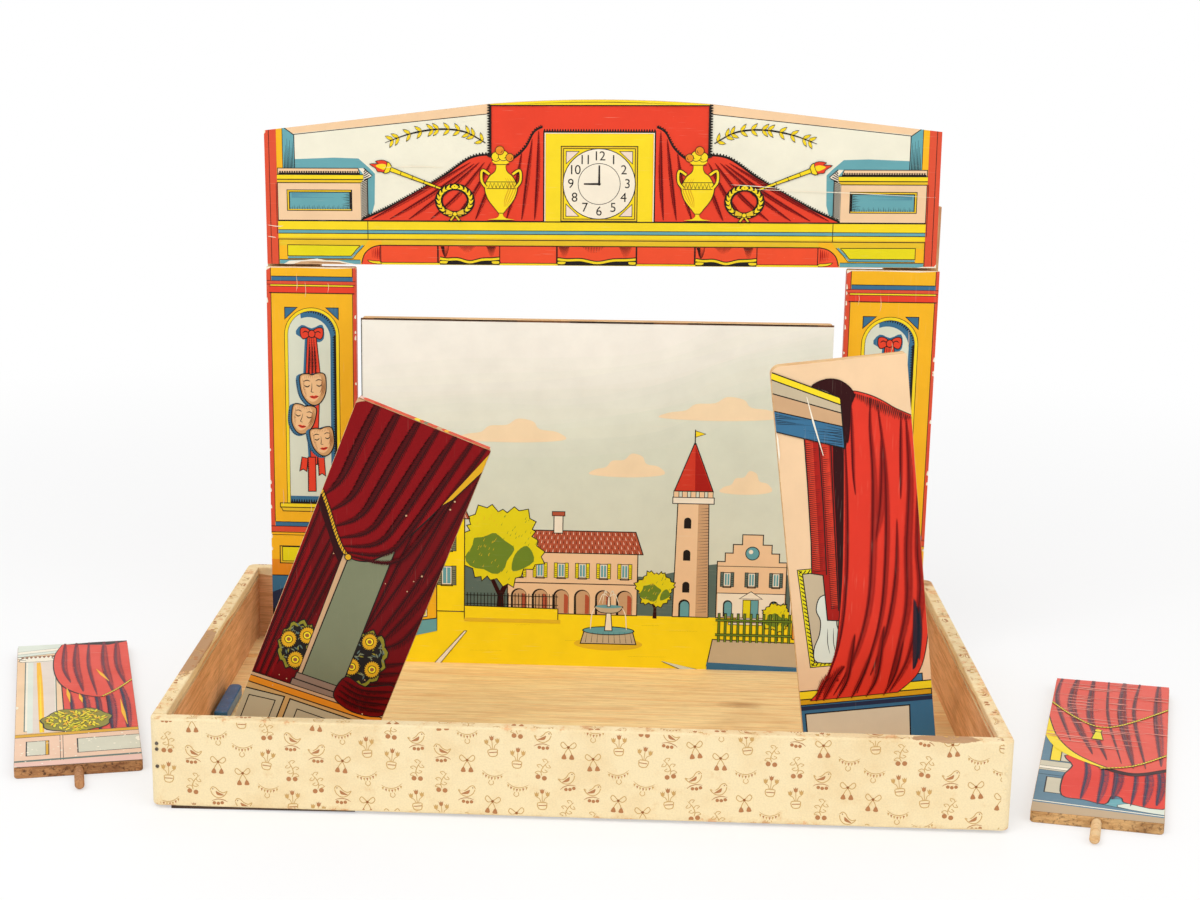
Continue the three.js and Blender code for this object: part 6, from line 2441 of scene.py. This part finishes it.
@dataclass
class BoardEdges:
    """Printed paper folded over the edges of the standing boards."""

    wing: LeftWing
    pediment: Pediment
    pilasters: tuple[Pilaster, Pilaster]
    depth: float = 8.0
    wing_top: float = 92.0
    wing_side: float = 240.0
    pediment_end: float = 98.0
    pediment_middle: float = 52.0
    trim: float = 4.0

    def build(self, material: bpy.types.Material) -> None:
        """Builds each edge and fixes it to its board.

        Args:
            material: The printed paper's finish.
        """
        back, up, wing = Vector((0, 1, 0)), Vector((0, 0, 1)), self.wing
        across, rise = leaning(wing.turn)
        foot = Vector(wing.place)
        crown = strip("wing_left_top_edge", seat(foot + rise * (wing.height + INK_GAP), across, back),
            self.wing_top, self.depth, ((Ink.BRICK, 0, 1), (Ink.ROSE, 0.12, 0.2), (Ink.YELLOW, 0.43, 0.47),
                (Ink.SAGE, 0.5, 0.53), (Ink.CLAY, 0.6, 0.64), (Ink.AMBER, 0.66, 0.69),
                (Ink.ROSE, 0.8, 0.88), (Ink.PINK, 0.0, 0.04)))
        # The side edge takes the wing's darkened red: print with painted shade.
        flank = strip("wing_left_side_edge",
            seat(foot + across * (wing.half + INK_GAP) + rise * (wing.height / 2), -rise, back),
            self.wing_side, self.depth, ((Ink.CARMINE, 0, 1), (Ink.CLAY, 0.86, 1.0)))
        pieces = [(edge, "wing_left", "printed_wing_left") for edge in (crown, flank)]
        for board in self.pilasters:
            side = board.side.value
            for way, name, plinth in ((-1, "left", (Ink.NAVY, 0, 0.2)), (1, "right", (Ink.NAVY, 0.8, 1))):
                corner = Vector((board.middle + way * (board.half + INK_GAP), board.front,
                        board.foot + board.height / 2))
                edge = strip(f"pilaster_{side}_edge_{name}", seat(corner, up * -way, back),
                    board.height - self.trim, self.depth, ((Ink.BRICK, 0, 1), plinth))
                pieces.append((edge, f"{side}_side", "printed_pilaster"))
        top = self.pediment
        across, rise = leaning(top.lean)
        for way, name in ((-1, "left"), (1, "right")):
            corner = Vector(top.foot) + across * (top.shift + way * (top.width / 2 + INK_GAP))
            corner += rise * self.pediment_middle
            edge = strip(f"pediment_edge_{name}", seat(corner, rise * -way, back), self.pediment_end,
                self.depth, ((Ink.BRICK, 0, 1), (Ink.CREAM, 0.4, 0.43)))
            pieces.append((edge, "pediment", "printed_pediment"))
        for art, body, slot in pieces:
            own(art.press(material), body, slot)


# The frame's own solids


def dress_frame() -> None:
    """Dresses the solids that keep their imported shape."""
    # Old planed pine gives the boards' backs and edges a warm, streaked tan.
    pale = Pine("pale_pine", "#E9C592", "#D29C60", "#A8703E", Grain.ACROSS, stained=0.4).build()
    dress(pale, "backdrop_board", "wing_left_board", "wing_right_board", "pediment_board",
        "spare_wing_right_peg")
    # The uprights' fibres run up them, a shade darker.
    upright_pine = Pine("upright_pine", "#E2BD8C", "#C8925A", "#A87244", Grain.UPRIGHT,
        stained=0.35).build()
    dress(upright_pine, "pilaster_left", "pilaster_right", "batten_left", "batten_right",
        "pediment_keeper_left", "pediment_keeper_right")
    # The floor is the palest wood, golden, with two small knots.
    floor_pine = Pine("tray_floor_pine", "#FFDFA2", "#F3C587", "#C99458", Grain.ACROSS, 4.0, 0.3,
        knots=((-0.072, -0.055), (0.12, 0.03))).build()
    dress(floor_pine, "tray_bottom")
    # The spare wings' broken edges show crumbling, pitted wood, dark at the left and pale at the right.
    torn_pine = Pine("torn_pine", "#C08A58", "#8E5A34", "#5C3820", Grain.ACROSS, 3.0, 0.6,
        pits=0.85).build()
    chipped_pine = Pine("chipped_pine", "#D9AC72", "#B07E48", "#7C5230", Grain.ACROSS, 3.0, 0.5,
        pits=0.55).build()
    dress(torn_pine, "spare_wing_left_board")
    dress(chipped_pine, "spare_wing_right_board")
    # Turned beech: close fibres, red brown from handling.
    beech = Pine("turned_beech_peg", "#C08A5C", "#9A6238", "#6E4526", Grain.UPRIGHT, 2.0, 0.3).build()
    dress(beech, "wing_left_peg", "wing_right_peg", "spare_wing_left_peg")
    # Cream paper over sawn pine, whose fibres run along each wall; two places are torn off the rim.
    tears = ((-0.277, -0.045, 0.014, 0.066), (0.238, -0.177, 0.026, 0.009))
    for grain, name, walls in ((Grain.ACROSS, "long", ("tray_front_wall", "tray_back_wall")),
            (Grain.DEEP, "side", ("tray_left_wall", "tray_right_wall"))):
        sawn = Pine(f"sawn_pine_{grain.name.lower()}", "#F2BC8A", "#D39A66", "#9C6A42", grain, 3.0, 0.5)
        dress(CoverPaper(f"cream_cover_paper_{name}", sawn, tears=tears).build(), *walls)
    # Brushed oil enamel: deep blue, glossy, chipped to the wood.
    dress(Enamel("blue_enamel", "#23679B", "#C9A67A").build(), "loose_painted_piece")


# The set


@dataclass
class Studio:
    """A plain white sweep with soft lamps, and the camera where the photographer stood."""

    place: tuple[float, float, float] = (0.0201, -1.385, 0.5278)
    yaw: float = -3.373
    pitch: float = 13.062
    roll: float = 0.390
    lens: float = 59.37
    sensor: float = 36.0
    shift: float = 0.0833
    sweep: float = 14.0
    room: float = 0.62

    def camera(self) -> None:
        """Adds the camera."""
        yaw, pitch, roll = (math.radians(v) for v in (self.yaw, self.pitch, self.roll))
        ahead = Vector((math.sin(yaw) * math.cos(pitch), math.cos(yaw) * math.cos(pitch), -math.sin(pitch)))
        right = Vector((math.cos(yaw), -math.sin(yaw), 0))
        above = right.cross(ahead)
        level = right * math.cos(roll) + above * math.sin(roll)
        high = above * math.cos(roll) - right * math.sin(roll)
        bpy.ops.object.camera_add(location=self.place)
        camera = bpy.context.object
        camera.matrix_world = Matrix.Translation(self.place) @ Matrix((level, high,
                -ahead)).transposed().to_4x4()
        camera.data.lens = self.lens
        camera.data.sensor_width = self.sensor
        camera.data.shift_x = self.shift
        bpy.context.scene.camera = camera

    def lamps(self) -> None:
        """Adds three soft boxes and the room's light."""
        for name, place, size, power in (("key", (-0.9, -1.5, 2.3), 1.8, 33.0),
                ("fill", (1.6, -1.5, 1.6), 2.0, 16.0), ("back", (0.2, 1.6, 2.2), 1.6, 9.0)):
            bpy.ops.object.light_add(type="AREA", location=place)
            lamp = bpy.context.object
            lamp.name = name
            lamp.data.size = size
            lamp.data.energy = power
            lamp.rotation_euler = (Vector((0, 0, 0.15)) - Vector(place)).to_track_quat("-Z", "Y").to_euler()
        world = bpy.data.worlds.new("room")
        bpy.context.scene.world = world
        world.use_nodes = True
        world.node_tree.nodes.clear()
        tree = world.node_tree
        seen = self.seen(tree)
        dim = node(tree, "Background", {"Color": (1, 1, 1, 1), "Strength": self.room})
        bright = node(tree, "Background", {"Color": (1, 1, 1, 1), "Strength": 1.0})
        mix = node(tree, "MixShader", {0: seen, 1: dim.outputs[0], 2: bright.outputs[0]})
        node(tree, "OutputWorld", {0: mix.outputs[0]})

    def seen(self, tree: bpy.types.NodeTree) -> bpy.types.NodeSocket:
        """Adds nodes that tell whether the camera sees a thing, itself or in gloss or glass.

        Args:
            tree: The tree that takes the nodes.

        Returns:
            One where they do, and nothing elsewhere.
        """
        ray = node(tree, "LightPath")
        glossy = node(tree, "Math", {0: ray.outputs["Is Camera Ray"], 1: ray.outputs["Is Glossy Ray"]},
            operation="MAXIMUM")
        return node(tree, "Math", {0: glossy.outputs[0], 1: ray.outputs["Is Transmission Ray"]},
            operation="MAXIMUM").outputs[0]

    def floor(self) -> None:
        """Adds the paper sweep that everything stands on."""
        material, tree = blank_material("studio_paper")
        matt = node(tree, "BsdfDiffuse", {"Color": linear("#F4F4F4")})
        white = node(tree, "Emission", {"Color": (1, 1, 1, 1), "Strength": 1.0})
        place = node(tree, "TexCoord").outputs["Object"]
        away = node(tree, "VectorMath", {0: place}, operation="LENGTH").outputs["Value"]
        # Half of what the camera sees is plain white near the tray, and all of it further out.
        share = node(tree, "MapRange", {0: away, 1: 0.6, 2: 1.6, 3: 0.5, 4: 1.0},
            interpolation_type="SMOOTHSTEP")
        lit = node(tree, "Math", {0: self.seen(tree), 1: share.outputs[0]}, operation="MULTIPLY")
        mix = node(tree, "MixShader", {0: lit.outputs[0], 1: matt.outputs[0], 2: white.outputs[0]})
        node(tree, "OutputMaterial", {0: mix.outputs[0]})
        bpy.ops.object.select_all(action="DESELECT")
        bpy.ops.mesh.primitive_plane_add(size=self.sweep, location=(0, 0, -0.0001))
        sweep = bpy.context.object
        sweep.name = "studio_floor"
        sweep.data.materials.append(material)
        settle(sweep)

    def build(self) -> None:
        """Sets everything up."""
        bpy.context.scene.view_settings.view_transform = "Standard"
        self.camera()
        self.lamps()
        self.floor()


def main() -> None:
    """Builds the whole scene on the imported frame."""
    logging.basicConfig(level=logging.INFO, format="%(name)s: %(message)s")
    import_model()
    Studio().build()
    dress_frame()
    # Varnished lithographs: bright flat inks under a thin gloss, with the board's fibres and
    # rubbed specks in them.
    across = PrintedPaper("varnished_litho_across", Grain.ACROSS).build()
    along = PrintedPaper("varnished_litho_upright", Grain.UPRIGHT, wear=0.25).build()
    # The dark wing is duller and cleaner, and the spare wings are rubbed most and catch the light; their
    # many pale streaks are partly wear and partly painted sheen.
    dark = PrintedPaper("varnished_litho_dark", Grain.UPRIGHT, wear=0.08, rough=0.46).build()
    flat = PrintedPaper("rubbed_litho_lying", Grain.ACROSS, wear=0.6, rough=0.36).build()
    pediment, wing = Pediment(), LeftWing()
    pilasters = Pilaster(Side.LEFT, -221.0, 312.0), Pilaster(Side.RIGHT, 233.5, 316.0)
    pediment.build(across)
    for pilaster in pilasters:
        pilaster.build(along)
    Backdrop().build(across)
    wing.build(dark)
    RightWing().build(along)
    SpareWing(Side.LEFT, (-379.5, -1.5), 16.2, 87.0, 264.0, -1.8).build(flat)
    SpareWing(Side.RIGHT, (374.0, -35.5), -15.4, 83.5, 272.0, 5.0).build(flat)
    BoardEdges(wing, pediment, pilasters).build(along)
    # Cover paper pasted over a nail's head: cream, with the mottle of its age.
    papered = Enamel("paper_over_nail", "#F1DDB0", "#E3C690").build()
    WireNails().build(WireNail().build(), papered)
    # Uncoated cover paper: matt, with its small figures a little worn.
    TrayPaper().build(PrintedPaper("printed_cover_paper", Grain.ACROSS, wear=0.2, rough=0.7).build())
    # Raw pine blackened partly by dirt and handling, partly by painted shadow from the gap under the front
    # wall, reads as a thin shadow line.
    BottomLip().build(
        Pine("soiled_pine_edge", "#5E4634", "#453226", "#33251C", Grain.ACROSS, 2.0, 0.5).build())


if __name__ == "__main__":
    main()
